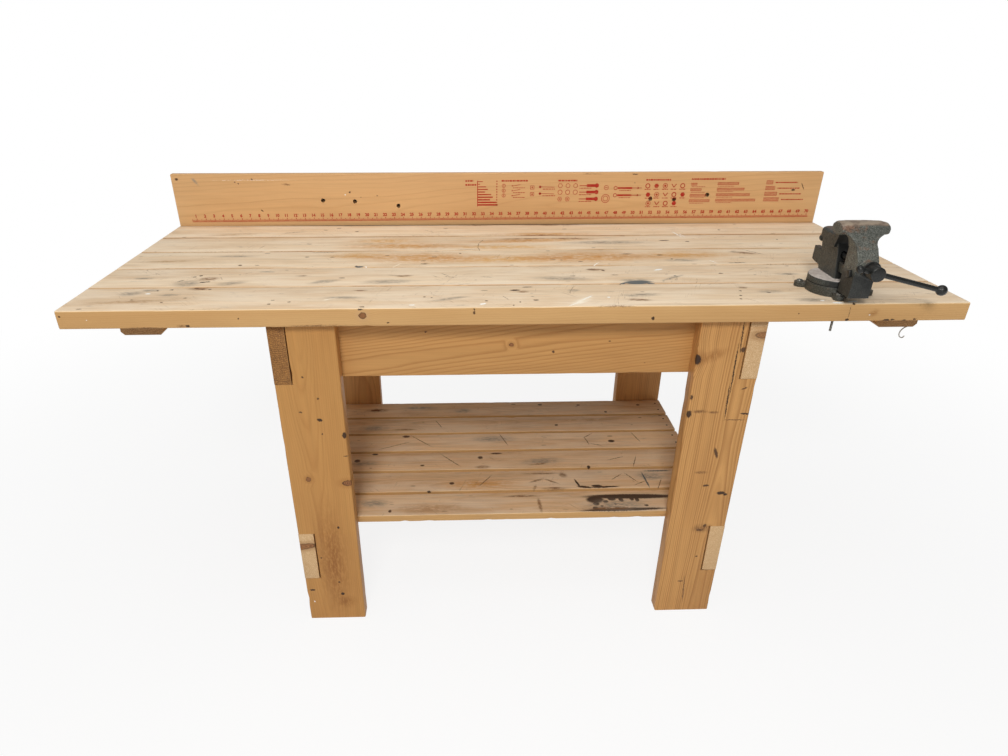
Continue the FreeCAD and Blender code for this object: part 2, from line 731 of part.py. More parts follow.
flare_side = profile_uw([
    (neck_back - 6.0, flare_low),
    (neck_front - 10.0, flare_low),
    (jaw_u + jaw_half_deep * 0.75, jaw_w - 6.0),
    (jaw_u + jaw_half_deep * 0.6, jaw_w),
    (jaw_u - jaw_half_deep * 0.2, jaw_w),
    (neck_back - 8.0, jaw_low),
], jaw_half)
corner = neck_half + flare_wide
flare = Part.makeBox(90.0, 2.0 * corner, jaw_w - flare_low, V(jaw_back, -corner, flare_low))
for side in (-1, 1):
    flare = flare.cut(oval_along_u(flare_wide, flare_tall, side * corner, jaw_low + 2.0 - flare_tall))
flare = flare.common(flare_side)
bar_head = profile_uw([(jaw_u + u, jaw_w + w) for u, w in oval_points(jaw_half_deep, jaw_half_tall)], jaw_half)
pad_top = plate_high + 1.8
pad_half = plate_half + 1.0
pad_low = plate_low - 1.0
pad = Part.makeBox(jaw_half_deep, 2.0 * pad_half, pad_top - pad_low, V(jaw_back, -pad_half, pad_low))
jaw = neck.fuse(bar_head).fuse(flare).fuse(pad)
boss_start = V(neck_back + 10.0, 0, screw_axis)
jaw = jaw.fuse(prism(boss_r, boss_start, V(1, 0, 0), boss_end - neck_back - 10.0, sides=28))
jaw = jaw.cut(rod(screw_major + shaft_slip, V(0, 0, screw_axis), V(1, 0, 0), 200.0))
recess = Part.makeBox(plate_t + 5.0, 2.0 * plate_half + 0.2, 40.0)
recess.translate(V(moving_seat - plate_t - 5.0, -plate_half - 0.1, plate_low - 0.1))
jaw = jaw.cut(recess)
socket = Part.makeBox(100.0, 2.0 * bar_half + 0.1, bar_top - bar_low + 0.1)
socket.translate(V(bar_into_jaw - 100.0, -bar_half - 0.05, bar_low - 0.05))
jaw = jaw.cut(socket)
for v in (-bolt_v, bolt_v):
    jaw = jaw.cut(prism(1.6, V(moving_seat - 1.0, v, bolt_w), V(1, 0, 0), 9.0))
set_hole = V(set_u, -neck_half - 1, set_w)
jaw = jaw.cut(prism(set_r + 0.1, set_hole, V(0, 1, 0), neck_half - bar_half + 1, sides=10))
jaw = jaw.removeSplitter()
save(placed(jaw), "vise_moving_jaw")

# square-headed set screw that holds the guide bar in the jaw
square = Part.makeBox(set_square, 5.0, set_square, V(-set_square / 2.0, 0, -set_square / 2.0))
square.rotate(V(0, 0, 0), V(0, 1, 0), -24.0)
square.translate(V(set_u, -neck_half - 5.0, set_w))
set_start = V(set_u, -neck_half - 0.5, set_w)
square = square.fuse(prism(set_r, set_start, V(0, 1, 0), neck_half - bar_half + 0.45, sides=10))
save(placed(square), "guide_bar_set_screw")

guide = Part.makeBox(bar_into_jaw - bar_back, 2.0 * bar_half, bar_top - bar_low)
guide.translate(V(bar_back, -bar_half, bar_low))
save(placed(guide), "vise_guide_bar")

# ---------------------------------------------------------------- vise screw with cross-drilled head
thread = [(thread_start, screw_root)]
turns = int((thread_end - thread_start) / thread_pitch)
for count in range(turns):
    u = thread_start + count * thread_pitch
    thread.append((u + 0.5 * thread_pitch, screw_major))
    thread.append((u + thread_pitch, screw_root))
thread.append((thread_end + 1.0, screw_root))
screw = turned(thread, thread_sides)
screw = screw.fuse(rod(screw_major, V(thread_end, 0, 0), V(1, 0, 0), boss_end + 1.0 - thread_end))
collar_from = boss_end + collar_gap
knob_from = collar_from + flange_t
knob = turned([
    (collar_from, flange_r),
    (knob_from, flange_r),
    (knob_from, knob_r),
    (knob_end - 1.5, knob_r),
    (knob_end, knob_r - 1.5),
], knob_sides)
screw = screw.fuse(knob).removeSplitter()
handle_run = V(0, math.cos(tilt), math.sin(tilt))
cross = rod(handle_r + handle_slip, V(handle_u, 0, 0) - handle_run * 40.0, handle_run, 80.0)
screw = screw.cut(cross)
screw.translate(V(0, 0, screw_axis))
save(placed(screw), "vise_screw")

ring_front = skirt_back - 0.2
ring_start = V(ring_front - ring_t, 0, screw_axis)
ring = prism(ring_r, ring_start, V(1, 0, 0), ring_t, sides=20)
ring = ring.cut(prism(screw_major + ring_slip, ring_start - V(1, 0, 0), V(1, 0, 0), ring_t + 2, sides=20))
save(placed(ring), "screw_retaining_ring")

# ---------------------------------------------------------------- sliding handle with ball ends
centre = V(handle_u, 0, screw_axis)
bar_a = centre - handle_run * handle_left
bar_len = handle_left + handle_right
handle = rod(handle_r, bar_a, handle_run, bar_len)
save(placed(handle), "vise_handle_bar")
socket = prism(handle_r + 0.05, bar_a - handle_run * 0.05, handle_run, bar_len + 0.1, sides=24)
balls = []
for distance, radius in ((-handle_left, ball_left_r), (handle_right, ball_right_r)):
    arc = []
    for step in range(1, ball_steps):
        angle = math.pi * step / ball_steps
        arc.append((-radius * math.cos(angle), radius * math.sin(angle)))
    ball = turned(arc, 2 * ball_steps)
    ball.Placement = FreeCAD.Placement(centre + handle_run * distance, FreeCAD.Rotation(V(1, 0, 0), handle_run))
    balls.append(ball.cut(socket))
save(placed(grouped(balls)), "vise_handle_balls")
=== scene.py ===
import json
import math
import random

import bmesh
import bpy
from mathutils import Matrix, Vector, noise


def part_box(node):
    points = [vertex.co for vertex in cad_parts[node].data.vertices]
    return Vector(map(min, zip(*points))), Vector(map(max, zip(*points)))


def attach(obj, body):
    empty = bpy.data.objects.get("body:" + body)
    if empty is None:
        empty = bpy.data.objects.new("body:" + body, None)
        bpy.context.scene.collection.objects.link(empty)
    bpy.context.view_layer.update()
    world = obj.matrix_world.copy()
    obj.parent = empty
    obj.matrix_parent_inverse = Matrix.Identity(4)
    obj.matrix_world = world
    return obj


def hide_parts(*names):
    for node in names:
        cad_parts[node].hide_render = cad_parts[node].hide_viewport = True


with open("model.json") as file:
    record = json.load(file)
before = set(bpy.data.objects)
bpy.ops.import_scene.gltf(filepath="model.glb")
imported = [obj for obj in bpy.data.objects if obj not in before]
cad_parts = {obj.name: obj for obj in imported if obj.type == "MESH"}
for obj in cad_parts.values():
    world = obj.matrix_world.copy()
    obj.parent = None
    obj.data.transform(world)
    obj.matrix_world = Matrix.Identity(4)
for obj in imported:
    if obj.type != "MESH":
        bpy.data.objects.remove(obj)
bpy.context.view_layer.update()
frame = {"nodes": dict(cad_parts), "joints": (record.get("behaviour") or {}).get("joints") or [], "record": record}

# Looks of a softwood workbench with a swivelling bench vise. Metres; +X right, -Y front, +Z up.
# "Bench inches" are measured from the top's front left corner: x right, y back, z up from the top.

INCH = 0.0254
MM = 0.001
CAD = frame["nodes"]
JOINTS = {joint["name"]: joint for joint in frame["joints"]}
BODY_OF = {}
for body_name, members in frame["record"]["behaviour"]["bodies"].items():
    for member in members:
        BODY_OF[member] = body_name

top_corner, top_far_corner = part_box("top_plank_1")
LEFT = top_corner[0]
FRONT = top_corner[1]
TOP = top_far_corner[2]


def bench(x, y, z=0.0):
    return Vector((LEFT + x * INCH, FRONT + y * INCH, TOP + z * INCH))


def srgb(red, green, blue):
    # 0-255 display colour to a linear RGBA colour
    linear = []
    for value in (red, green, blue):
        part = value / 255.0
        linear.append(part / 12.92 if part <= 0.04045 else ((part + 0.055) / 1.055) ** 2.4)
    return (linear[0], linear[1], linear[2], 1.0)


# ---------------------------------------------------------------- node-tree helper
class Shader:
    """Builds one material; every method returns an output socket to chain."""

    def __init__(self, name):
        self.material = bpy.data.materials.new(name)
        self.material.use_nodes = True
        self.nodes = self.material.node_tree.nodes
        self.links = self.material.node_tree.links
        self.nodes.clear()
        self.output = self.nodes.new("ShaderNodeOutputMaterial")
        self.surface = self.nodes.new("ShaderNodeBsdfPrincipled")
        self.links.new(self.surface.outputs[0], self.output.inputs[0])
        coordinates = self.nodes.new("ShaderNodeTexCoord")
        self.place = coordinates.outputs["Object"]
        self.normal = coordinates.outputs["Normal"]

    def feed(self, socket, value):
        if isinstance(value, bpy.types.NodeSocket):
            self.links.new(value, socket)
        elif isinstance(value, (int, float)) and socket.type in ("RGBA", "VECTOR"):
            socket.default_value = [value] * len(socket.default_value)
        else:
            socket.default_value = value

    def math(self, operation, first, second=0.0):
        node = self.nodes.new("ShaderNodeMath")
        node.operation = operation
        self.feed(node.inputs[0], first)
        self.feed(node.inputs[1], second)
        return node.outputs[0]

    def add(self, first, second):
        return self.math("ADD", first, second)

    def less(self, first, second):
        return self.math("SUBTRACT", first, second)

    def times(self, first, second):
        return self.math("MULTIPLY", first, second)

    def vector(self, operation, first, second=(0.0, 0.0, 0.0)):
        node = self.nodes.new("ShaderNodeVectorMath")
        node.operation = operation
        self.feed(node.inputs[0], first)
        self.feed(node.inputs[1], second)
        return node.outputs["Value"] if operation == "LENGTH" else node.outputs[0]

    def parts(self, vector):
        node = self.nodes.new("ShaderNodeSeparateXYZ")
        self.feed(node.inputs[0], vector)
        return node.outputs[0], node.outputs[1], node.outputs[2]

    def join(self, x, y, z):
        node = self.nodes.new("ShaderNodeCombineXYZ")
        for socket, value in zip(node.inputs, (x, y, z)):
            self.feed(socket, value)
        return node.outputs[0]

    def noise(self, vector, scale=1.0, detail=3.0, roughness=0.55, colour=False):
        node = self.nodes.new("ShaderNodeTexNoise")
        self.feed(node.inputs["Vector"], vector)
        node.inputs["Scale"].default_value = scale
        node.inputs["Detail"].default_value = detail
        node.inputs["Roughness"].default_value = roughness
        return node.outputs["Color" if colour else "Fac"]

    def drawn(self, vector, along, across, detail=3.0, roughness=0.55, colour=False):
        # noise drawn out along the grain, which is the first axis
        stretched = self.vector("MULTIPLY", vector, (along, across, across))
        return self.noise(stretched, 1.0, detail, roughness, colour)

    def cells(self, vector, scale=1.0, output="Distance"):
        node = self.nodes.new("ShaderNodeTexVoronoi")
        self.feed(node.inputs["Vector"], vector)
        node.inputs["Scale"].default_value = scale
        return node.outputs[output]

    def step(self, value, start, end, low=0.0, high=1.0, smooth=True):
        # value below start gives low, above end gives high
        node = self.nodes.new("ShaderNodeMapRange")
        node.interpolation_type = "SMOOTHSTEP" if smooth else "LINEAR"
        node.clamp = True
        for index, item in enumerate((value, start, end, low, high)):
            self.feed(node.inputs[index], item)
        return node.outputs[0]

    def ramp(self, value, stops):
        node = self.nodes.new("ShaderNodeValToRGB")
        self.feed(node.inputs[0], value)
        ramp = node.color_ramp
        while len(ramp.elements) < len(stops):
            ramp.elements.new(0.5)
        for element, (position, level) in zip(ramp.elements, stops):
            element.position = position
            element.color = (level, level, level, 1.0)
        return node.outputs[0]

    def mix(self, amount, first, second, blend="MIX"):
        node = self.nodes.new("ShaderNodeMix")
        node.data_type = "RGBA"
        node.blend_type = blend
        node.clamp_factor = True
        self.feed(node.inputs[0], amount)
        self.feed(node.inputs[6], first)
        self.feed(node.inputs[7], second)
        return node.outputs[2]

    def spot(self, place, centre, half, turn=(0.0, 0.0, 0.0)):
        # 0 at the middle of a turned ellipsoid, 1 on its surface
        node = self.nodes.new("ShaderNodeMapping")
        node.vector_type = "TEXTURE"
        self.feed(node.inputs["Vector"], place)
        node.inputs["Location"].default_value = centre
        node.inputs["Rotation"].default_value = turn
        node.inputs["Scale"].default_value = half
        return self.vector("LENGTH", node.outputs[0])

    def bump(self, height, distance, strength):
        node = self.nodes.new("ShaderNodeBump")
        node.inputs["Distance"].default_value = distance
        node.inputs["Strength"].default_value = strength
        self.feed(node.inputs["Height"], height)
        return node.outputs[0]

    def finish(self, colour, roughness, normal, metallic=0.0, specular=0.5):
        self.feed(self.surface.inputs["Base Color"], colour)
        self.feed(self.surface.inputs["Roughness"], roughness)
        self.feed(self.surface.inputs["Normal"], normal)
        self.surface.inputs["Metallic"].default_value = metallic
        self.surface.inputs["Specular IOR Level"].default_value = specular
        return self.material


# ---------------------------------------------------------------- lumber finishes
# Marks on the wood: colour, blend, softness of the rim.
KINDS = {
    # hole: painted shade inside a bore
    "hole": (srgb(16, 12, 9), "MIX", 0.12),
    "gouge": (srgb(54, 34, 20), "MIX", 0.28),
    "speck": (srgb(84, 56, 34), "MIX", 0.36),
    "grey": (srgb(150, 138, 122), "MIX", 0.95),
    "blue": (srgb(84, 92, 94), "MIX", 0.35),
    "white": (srgb(248, 248, 244), "MIX", 0.35),
    "honey": (srgb(236, 200, 140), "MULTIPLY", 0.95),
    "orange": (srgb(224, 176, 102), "MULTIPLY", 0.95),
    "brown": (srgb(124, 84, 48), "MIX", 0.75),
    "line": (srgb(104, 74, 48), "MIX", 0.40),
    "pale": (srgb(250, 240, 220), "MIX", 0.70),
    "shade": (srgb(208, 190, 170), "MULTIPLY", 1.0),
}
DENTING = ("gouge", "speck", "line")
BATCH = 8

LOOKS = {
    # pale and dark wood, how strongly the rings show, where their dark line starts, fibre
    # contrast, roughness
    "top": (srgb(236, 211, 178), srgb(206, 164, 118), 0.20, 0.55, 0.17, 0.62),
    "edge": (srgb(215, 172, 116), srgb(184, 136, 80), 0.30, 0.55, 0.08, 0.50),
    "leg_smooth": (srgb(200, 147, 83), srgb(168, 112, 56), 0.40, 0.60, 0.08, 0.48),
    "leg_striped": (srgb(216, 162, 98), srgb(158, 104, 52), 0.62, 0.30, 0.10, 0.50),
    "leg_back": (srgb(224, 168, 104), srgb(180, 122, 66), 0.50, 0.50, 0.12, 0.55),
    "apron": (srgb(206, 154, 92), srgb(168, 114, 58), 0.60, 0.55, 0.08, 0.48),
    "rail": (srgb(208, 164, 110), srgb(160, 112, 64), 0.55, 0.40, 0.12, 0.60),
    "shelf": (srgb(246, 208, 162), srgb(190, 144, 100), 0.36, 0.40, 0.16, 0.68),
    "backboard": (srgb(222, 177, 124), srgb(196, 146, 94), 0.42, 0.80, 0.05, 0.46),
}
COMMON_END = (srgb(206, 166, 116), srgb(140, 94, 50))
BROWN_END = (srgb(190, 134, 70), srgb(92, 56, 26))
PALE_END = (srgb(236, 206, 164), srgb(196, 156, 108))


def lumber(
    name, look, axis, centre, pith, seed, knots=(), marks=(), worn=0.0, aged=0.0,
    ends=COMMON_END, ink=None, seam=0.0, edges=(True, True), painted_gap_shade=0.0,
):
    """Sawn softwood.

    pith: the tree's heart seen in the board's own axes (across, through), its two slopes along the
    board and the ring spacing. knots: (place, half sizes, turn, darkness). marks: (kind, place, half
    sizes, turn, strength). ends: pale and dark colour of the end grain. ink: colour printed over it.
    seam: half width of a board whose near and far edges (edges) show joints, as dark lines with
    painted shade beside them. gap: where a painted shadow along the far edge, for the shade in
    the open joint there, has faded out; it is full up to 0.6 of that.
    """
    pale, dark, ring_share, sharp, fibre_share, base_rough = LOOKS[look]
    shader = Shader(name)
    local = shader.vector("SUBTRACT", shader.place, tuple(centre))
    x, y, z = shader.parts(local)
    grain = shader.join(*{0: (x, y, z), 1: (y, x, z), 2: (z, x, y)}[axis])
    along, across, through = shader.parts(grain)
    seeded = shader.vector("ADD", grain, (seed * 1.37, seed * 0.71, seed * 2.13))

    ragged = shader.noise(shader.place, 260.0, 3.0, 0.7, colour=True)
    ragged = shader.vector("SUBTRACT", ragged, (0.5, 0.5, 0.5))
    ragged = shader.vector("MULTIPLY", ragged, (0.006, 0.006, 0.006))
    ragged = shader.vector("ADD", shader.place, ragged)

    # growth rings round the heart, drifting and rippling
    drift = shader.drawn(seeded, 1.7, 7.0, 2.0, 0.5, colour=True)
    drift_a, drift_b, drift_c = shader.parts(drift)
    ripple = shader.drawn(seeded, 9.0, 60.0, 2.0)
    heart_a = shader.add(shader.times(along, pith[2]), pith[0])
    heart_b = shader.add(shader.times(along, pith[3]), pith[1])
    off_a = shader.less(shader.add(across, shader.times(shader.less(drift_a, 0.5), 0.03)), heart_a)
    off_b = shader.less(shader.add(through, shader.times(shader.less(drift_b, 0.5), 0.03)), heart_b)
    reach = shader.vector("LENGTH", shader.join(off_a, off_b, 0.0))
    cores = []
    for place, half, turn, darkness in knots:
        rim = shader.spot(ragged, place, half, turn)
        reach = shader.add(reach, shader.step(rim, 0.6, 4.5, max(half) * 0.55, 0.0))
        cores.append((rim, darkness))
    rings = shader.times(reach, 1.0 / pith[4])
    rings = shader.add(rings, shader.times(ripple, 0.35))
    rings = shader.add(rings, shader.times(drift_c, 1.2))
    cycle = shader.math("FRACT", rings)
    late = shader.ramp(cycle, [(0.0, 0.3), (0.10, 0.0), (sharp, 0.12), (0.88, 1.0), (1.0, 0.3)])
    age = shader.noise(shader.join(shader.math("FLOOR", rings), seed, 0.0), 3.1, 0.0)
    late = shader.times(late, shader.step(age, 0.3, 0.7, 0.4, 1.15))

    fibre = shader.drawn(seeded, 8.0, 480.0, 4.0, 0.7)
    streak = shader.drawn(seeded, 2.2, 90.0, 3.0, 0.6)
    cloud = shader.drawn(seeded, 1.6, 9.0, 4.0, 0.6)
    colour = shader.mix(shader.times(late, ring_share), pale, dark)
    colour = shader.mix(shader.step(cloud, 0.38, 0.72, 0.0, 0.38), colour, dark)
    shade = shader.step(fibre, 0.25, 0.75, 1.0 - fibre_share, 1.0 + fibre_share * 0.5, smooth=False)
    slow_shade = shader.step(streak, 0.3, 0.7, 1.0 - fibre_share * 0.8, 1.03, smooth=False)
    shade = shader.times(shade, slow_shade)
    colour = shader.mix(1.0, colour, shader.join(shade, shade, shade), "MULTIPLY")
    height = shader.add(shader.times(fibre, 0.4), shader.times(late, 0.5))

    face = shader.parts(shader.normal)
    if worn > 0.0:
        upward = shader.step(face[2], 0.55, 0.9)
        colour, height = wear(shader, seeded, colour, height, shader.times(upward, worn))
    if look in ("top", "shelf"):
        side_pale, side_dark = LOOKS["edge"][:2]
        side = shader.mix(shader.times(late, 0.4), side_pale, side_dark)
        side = shader.mix(shader.step(cloud, 0.35, 0.7, 0.0, 0.4), side, side_dark)
        side = shader.mix(shader.step(streak, 0.3, 0.7, 0.10, 0.0), side, side_dark)
        colour = shader.mix(shader.step(face[2], 0.35, 0.85), side, colour)
        # painted highlight: a pale line along the rounded arris where the top turns into a side face
        arris_highlight = shader.times(shader.step(face[2], 0.25, 0.5), shader.step(face[2], 0.7, 0.95, 1.0, 0.0))
        colour = shader.mix(shader.times(arris_highlight, 0.7), colour, srgb(244, 216, 172))
    # painted shade: the long edges turn brown within 7 mm of each joint, and a dark line marks the joint itself,
    # partly a dark joint and partly painted shade of the groove between the rounded edges
    if seam > 0.0:
        inset = shader.less(seam, shader.math("ABSOLUTE", across) if all(edges) else across)
        wander = shader.step(shader.drawn(seeded, 2.4, 30.0, 3.0), 0.34, 0.66, 0.15, 1.0)
        edge_shade = shader.times(shader.step(inset, 0.001, 0.007, 0.7, 0.0), wander)
        colour = shader.mix(edge_shade, colour, srgb(200, 146, 88))
        line = shader.times(
            shader.step(inset, 0.0006, 0.0020, 0.8, 0.0), shader.step(wander, 0.1, 0.8, 0.3, 1.0)
        )
        colour = shader.mix(line, colour, srgb(134, 92, 54))
    # painted shadow: a near-black band along the far edge stands in for the shade in the open joint behind the
    # board, strongest mid-board
    if painted_gap_shade > 0.0:
        inset = shader.less(seam, across)
        middle = shader.step(shader.math("ABSOLUTE", shader.add(along, 0.05)), 0.30, 0.80, 1.0, 0.25)
        shadow = shader.times(shader.step(inset, painted_gap_shade * 0.6, painted_gap_shade, 0.96, 0.0), middle)
        colour = shader.mix(shadow, colour, srgb(34, 28, 24))
    if aged > 0.0:
        grime = shader.step(shader.drawn(seeded, 5.0, 22.0, 4.0, 0.7), 0.45, 0.78, 0.0, aged)
        colour = shader.mix(grime, colour, srgb(122, 100, 78))

    pores = shader.vector("MULTIPLY", seeded, (22.0, 46.0, 46.0))
    pick = shader.parts(shader.cells(pores, 1.0, "Color"))[0]
    pore = shader.less(shader.cells(pores), shader.step(pick, 0.93, 1.0, -0.02, 0.07, smooth=False))
    colour = shader.mix(shader.step(pore, -0.02, 0.01, 0.7, 0.0), colour, srgb(86, 56, 34))

    end = shader.step(shader.math("ABSOLUTE", face[axis]), 0.75, 0.95)
    end_tone = shader.mix(shader.step(shader.noise(seeded, 700.0), 0.3, 0.7), ends[1], ends[0])
    end_tone = shader.mix(shader.times(late, 0.7), end_tone, ends[1])
    colour = shader.mix(shader.times(end, 0.9), colour, end_tone)

    for rim, darkness in cores:
        swirl = shader.step(shader.math("SINE", shader.times(rim, 19.0)), -1.0, 1.0)
        wood = shader.mix(swirl, srgb(120, 74, 42), srgb(176, 118, 70))
        wood = shader.mix(shader.step(rim, 0.62, 0.96, 0.15, 0.85), wood, srgb(62, 36, 20))
        colour = shader.mix(shader.step(rim, 0.95, 2.6, 0.5, 0.0), colour, dark)
        inside = shader.step(rim, 0.90, 1.10, darkness, 0.0)
        colour = shader.mix(inside, colour, wood)
        height = shader.less(height, shader.times(inside, 0.4))

    patchy = shader.step(shader.drawn(seeded, 55.0, 170.0, 4.0, 0.75), 0.36, 0.58, 0.25, 1.0)
    anchor = ragged
    for kind, (tone, blend, soft) in KINDS.items():
        cover = None
        for count, mark in enumerate(mark for mark in marks if mark[0] == kind):
            if count % BATCH == BATCH - 1:
                # each batch waits for the one before, or Cycles runs out of room for a long list
                anchor = shader.vector("ADD", ragged, shader.times(cover, 1e-9))
            rim = shader.spot(anchor, mark[1], mark[2], mark[3])
            one = shader.step(rim, 1.0 - soft, 1.0 + soft * 0.5, mark[4], 0.0)
            cover = one if cover is None else shader.math("MAXIMUM", cover, one)
        if cover is not None:
            if soft > 0.6:
                cover = shader.times(cover, patchy)
            colour = shader.mix(cover, colour, tone, blend)
            anchor = shader.vector("ADD", ragged, shader.times(cover, 1e-9))
            if kind in DENTING:
                height = shader.less(height, shader.times(cover, 0.8))

    if ink is not None:
        rubbed = shader.step(shader.drawn(seeded, 60.0, 260.0, 4.0, 0.75), 0.30, 0.50, 0.66, 1.0)
        colour = shader.mix(rubbed, colour, ink)
    normal = shader.bump(height, 0.0006, 0.5)
    rough = shader.step(fibre, 0.2, 0.8, base_rough + 0.12, base_rough - 0.06)
    return shader.finish(colour, rough, normal, specular=0.35)


def wear(shader, seeded, colour, height, amount):
    # bleached, dented work surface: pale haze, grey smears, specks, dents and hair scratches
    haze = shader.step(shader.drawn(seeded, 3.6, 22.0, 4.0, 0.65), 0.36, 0.66, 0.0, 0.5)
    colour = shader.mix(shader.times(haze, amount), colour, srgb(246, 232, 210))
    smear = shader.step(shader.drawn(seeded, 17.0, 84.0, 5.0, 0.78), 0.55, 0.72, 0.0, 0.62)
    patch = shader.step(shader.drawn(seeded, 4.0, 9.0, 2.0), 0.45, 0.62)
    colour = shader.mix(shader.times(shader.times(smear, patch), amount), colour, srgb(160, 146, 130))

    stretched = shader.vector("MULTIPLY", seeded, (30.0, 92.0, 92.0))
    pick, depth = shader.parts(shader.cells(stretched, 1.0, "Color"))[:2]
    size = shader.step(pick, 0.82, 1.0, -0.08, 0.26, smooth=False)
    dot = shader.step(shader.less(shader.cells(stretched), size), -0.05, 0.03, 1.0, 0.0)
    dot = shader.times(dot, shader.step(depth, 0.0, 1.0, 0.2, 1.0))
    colour = shader.mix(shader.times(dot, amount), colour, srgb(80, 52, 32))

    dents = shader.cells(shader.vector("MULTIPLY", seeded, (60.0, 120.0, 120.0)))
    height = shader.less(height, shader.step(dents, 0.05, 0.32, 0.35, 0.0))

    x, y, z = shader.parts(seeded)
    scratch = None
    for turn, stretch, offset in ((0.5, 5.0, 1.7), (-0.85, 4.0, 5.3), (1.25, 6.0, 9.1)):
        run = shader.add(shader.times(x, math.cos(turn)), shader.times(y, math.sin(turn)))
        side = shader.less(shader.times(y, math.cos(turn)), shader.times(x, math.sin(turn)))
        hair = shader.join(shader.times(run, stretch), shader.times(side, 100.0), offset)
        line = shader.noise(hair, 1.0, 1.0)
        line = shader.step(shader.math("ABSOLUTE", shader.less(line, 0.5)), 0.0, 0.008, 1.0, 0.0)
        gate = shader.noise(shader.join(shader.times(run, 9.0), shader.times(side, 16.0), offset), 1.0, 2.0)
        line = shader.times(line, shader.step(gate, 0.58, 0.66))
        scratch = line if scratch is None else shader.math("MAXIMUM", scratch, line)
    scratch = shader.times(scratch, amount)
    colour = shader.mix(shader.times(scratch, 0.6), colour, srgb(128, 98, 70))
    return colour, shader.less(height, shader.times(scratch, 0.6))


# ---------------------------------------------------------------- metal finishes
def cast_paint(
    name, base, light, rust_up=0.0, seed=0.0, rust_spot=None, shade_facing=None, shade_below=None,
    dusty=None, split=None,
):
    """Dark paint over rough cast iron, worn pale in places, with rust on what faces up.

    shade_facing: a direction whose faces are painted nearly black, as painted shade in the throat.
    shade_below: heights between which the paint turns nearly black, painted shade on the lower part
    of the casting under the head's overhang. dusty: two heights whose upward faces between them are
    covered in two paler tones. split: height of a black joint line, painted shade of the gap
    between two castings.
    """
    shader = Shader(name)
    place = shader.vector("ADD", shader.place, (seed, seed * 0.6, seed * 1.9))
    grit = shader.noise(place, 620.0, 3.0, 0.7)
    lumps = shader.noise(place, 170.0, 3.0, 0.6)
    broad = shader.noise(place, 30.0, 3.0, 0.6)
    height_up = shader.parts(shader.place)[2]
    tone = shader.mix(shader.step(grit, 0.38, 0.62), base, light)
    tone = shader.mix(shader.step(broad, 0.35, 0.7, 0.0, 0.35), tone, base)
    black = srgb(22, 23, 21)
    fleck = shader.step(shader.cells(place, 300.0), 0.0, 0.2, 0.7, 0.0)
    tone = shader.mix(shader.times(fleck, shader.step(broad, 0.46, 0.6)), tone, srgb(168, 168, 160))
    up = shader.parts(shader.normal)[2]
    spots = shader.noise(place, 95.0, 4.0, 0.7)
    rust = shader.mix(shader.step(grit, 0.35, 0.65), srgb(92, 62, 46), srgb(152, 116, 92))
    if rust_up > 0.0:
        reach = shader.add(shader.times(up, 0.55), shader.times(spots, 0.85))
        tone = shader.mix(shader.step(reach, 0.78, 1.08, 0.0, rust_up), tone, rust)
    if rust_spot is not None:
        near = shader.spot(shader.place, *rust_spot)
        near = shader.add(near, shader.times(shader.less(spots, 0.5), 2.4))
        tone = shader.mix(shader.step(near, 0.5, 1.1, 0.8, 0.0), tone, rust)
    tone = shader.mix(shader.step(spots, 0.62, 0.72, 0.0, 0.4), tone, rust)
    # painted shade: below these heights the casting turns nearly black, as shade under the head's overhang
    if shade_below is not None:
        tone = shader.mix(shader.step(height_up, shade_below[0], shade_below[1], 0.85, 0.0), tone, black)
    # painted shade: a black band a little over a millimetre each side of the joint between base and body, for the
    # shade in the gap
    if split is not None:
        apart = shader.math("ABSOLUTE", shader.less(height_up, split))
        tone = shader.mix(shader.step(apart, 0.5 * MM, 1.4 * MM, 0.95, 0.0), tone, srgb(10, 10, 9))
    if dusty is not None:
        low, high = dusty[:2]
        band = shader.times(
            shader.step(height_up, low, low + MM), shader.step(height_up, high, high + MM, 1.0, 0.0)
        )
        cover = shader.times(shader.step(up, 0.6, 0.95), shader.step(lumps, 0.3, 0.6, 0.72, 1.0))
        pale = shader.mix(shader.step(broad, 0.4, 0.6), dusty[2], dusty[3])
        tone = shader.mix(shader.times(cover, band), tone, pale)
    # painted shade: faces that look into the throat between the jaws are turned nearly black
    if shade_facing is not None:
        node = shader.nodes.new("ShaderNodeVectorMath")
        node.operation = "DOT_PRODUCT"
        shader.feed(node.inputs[0], shader.normal)
        node.inputs[1].default_value = tuple(shade_facing)
        tone = shader.mix(shader.step(node.outputs["Value"], 0.6, 0.9, 0.0, 0.9), tone, black)
    height = shader.add(shader.times(lumps, 0.8), shader.times(grit, 0.5))
    normal = shader.bump(height, 0.0009, 0.55)
    rough = shader.step(lumps, 0.3, 0.7, 0.38, 0.60)
    return shader.finish(tone, rough, normal, metallic=0.1, specular=0.5)


def machined(name, base, light, rough, rust=0.3, metallic=0.7):
    """Oiled steel with a little rust."""
    shader = Shader(name)
    grit = shader.noise(shader.place, 500.0, 3.0, 0.6)
    broad = shader.noise(shader.place, 45.0, 3.0, 0.6)
    tone = shader.mix(shader.step(grit, 0.3, 0.7), base, light)
    tone = shader.mix(shader.step(broad, 0.55, 0.75, 0.0, rust), tone, srgb(104, 66, 44))
    normal = shader.bump(grit, 0.0004, 0.3)
    roughness = shader.step(broad, 0.3, 0.7, rough - 0.08, rough + 0.12)
    return shader.finish(tone, roughness, normal, metallic=metallic)


# ---------------------------------------------------------------- mesh helpers
SHARP_EDGE = math.radians(40.0)


def add_piece(name, mesh, body, material, nodes=()):
    piece = bpy.data.objects.new(name, mesh)
    bpy.context.scene.collection.objects.link(piece)
    mesh.materials.clear()
    mesh.materials.append(material)
    for polygon in mesh.polygons:
        polygon.use_smooth = True
    mesh.set_sharp_from_angle(angle=SHARP_EDGE)
    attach(piece, body)
    if nodes:
        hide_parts(*nodes)
    return piece


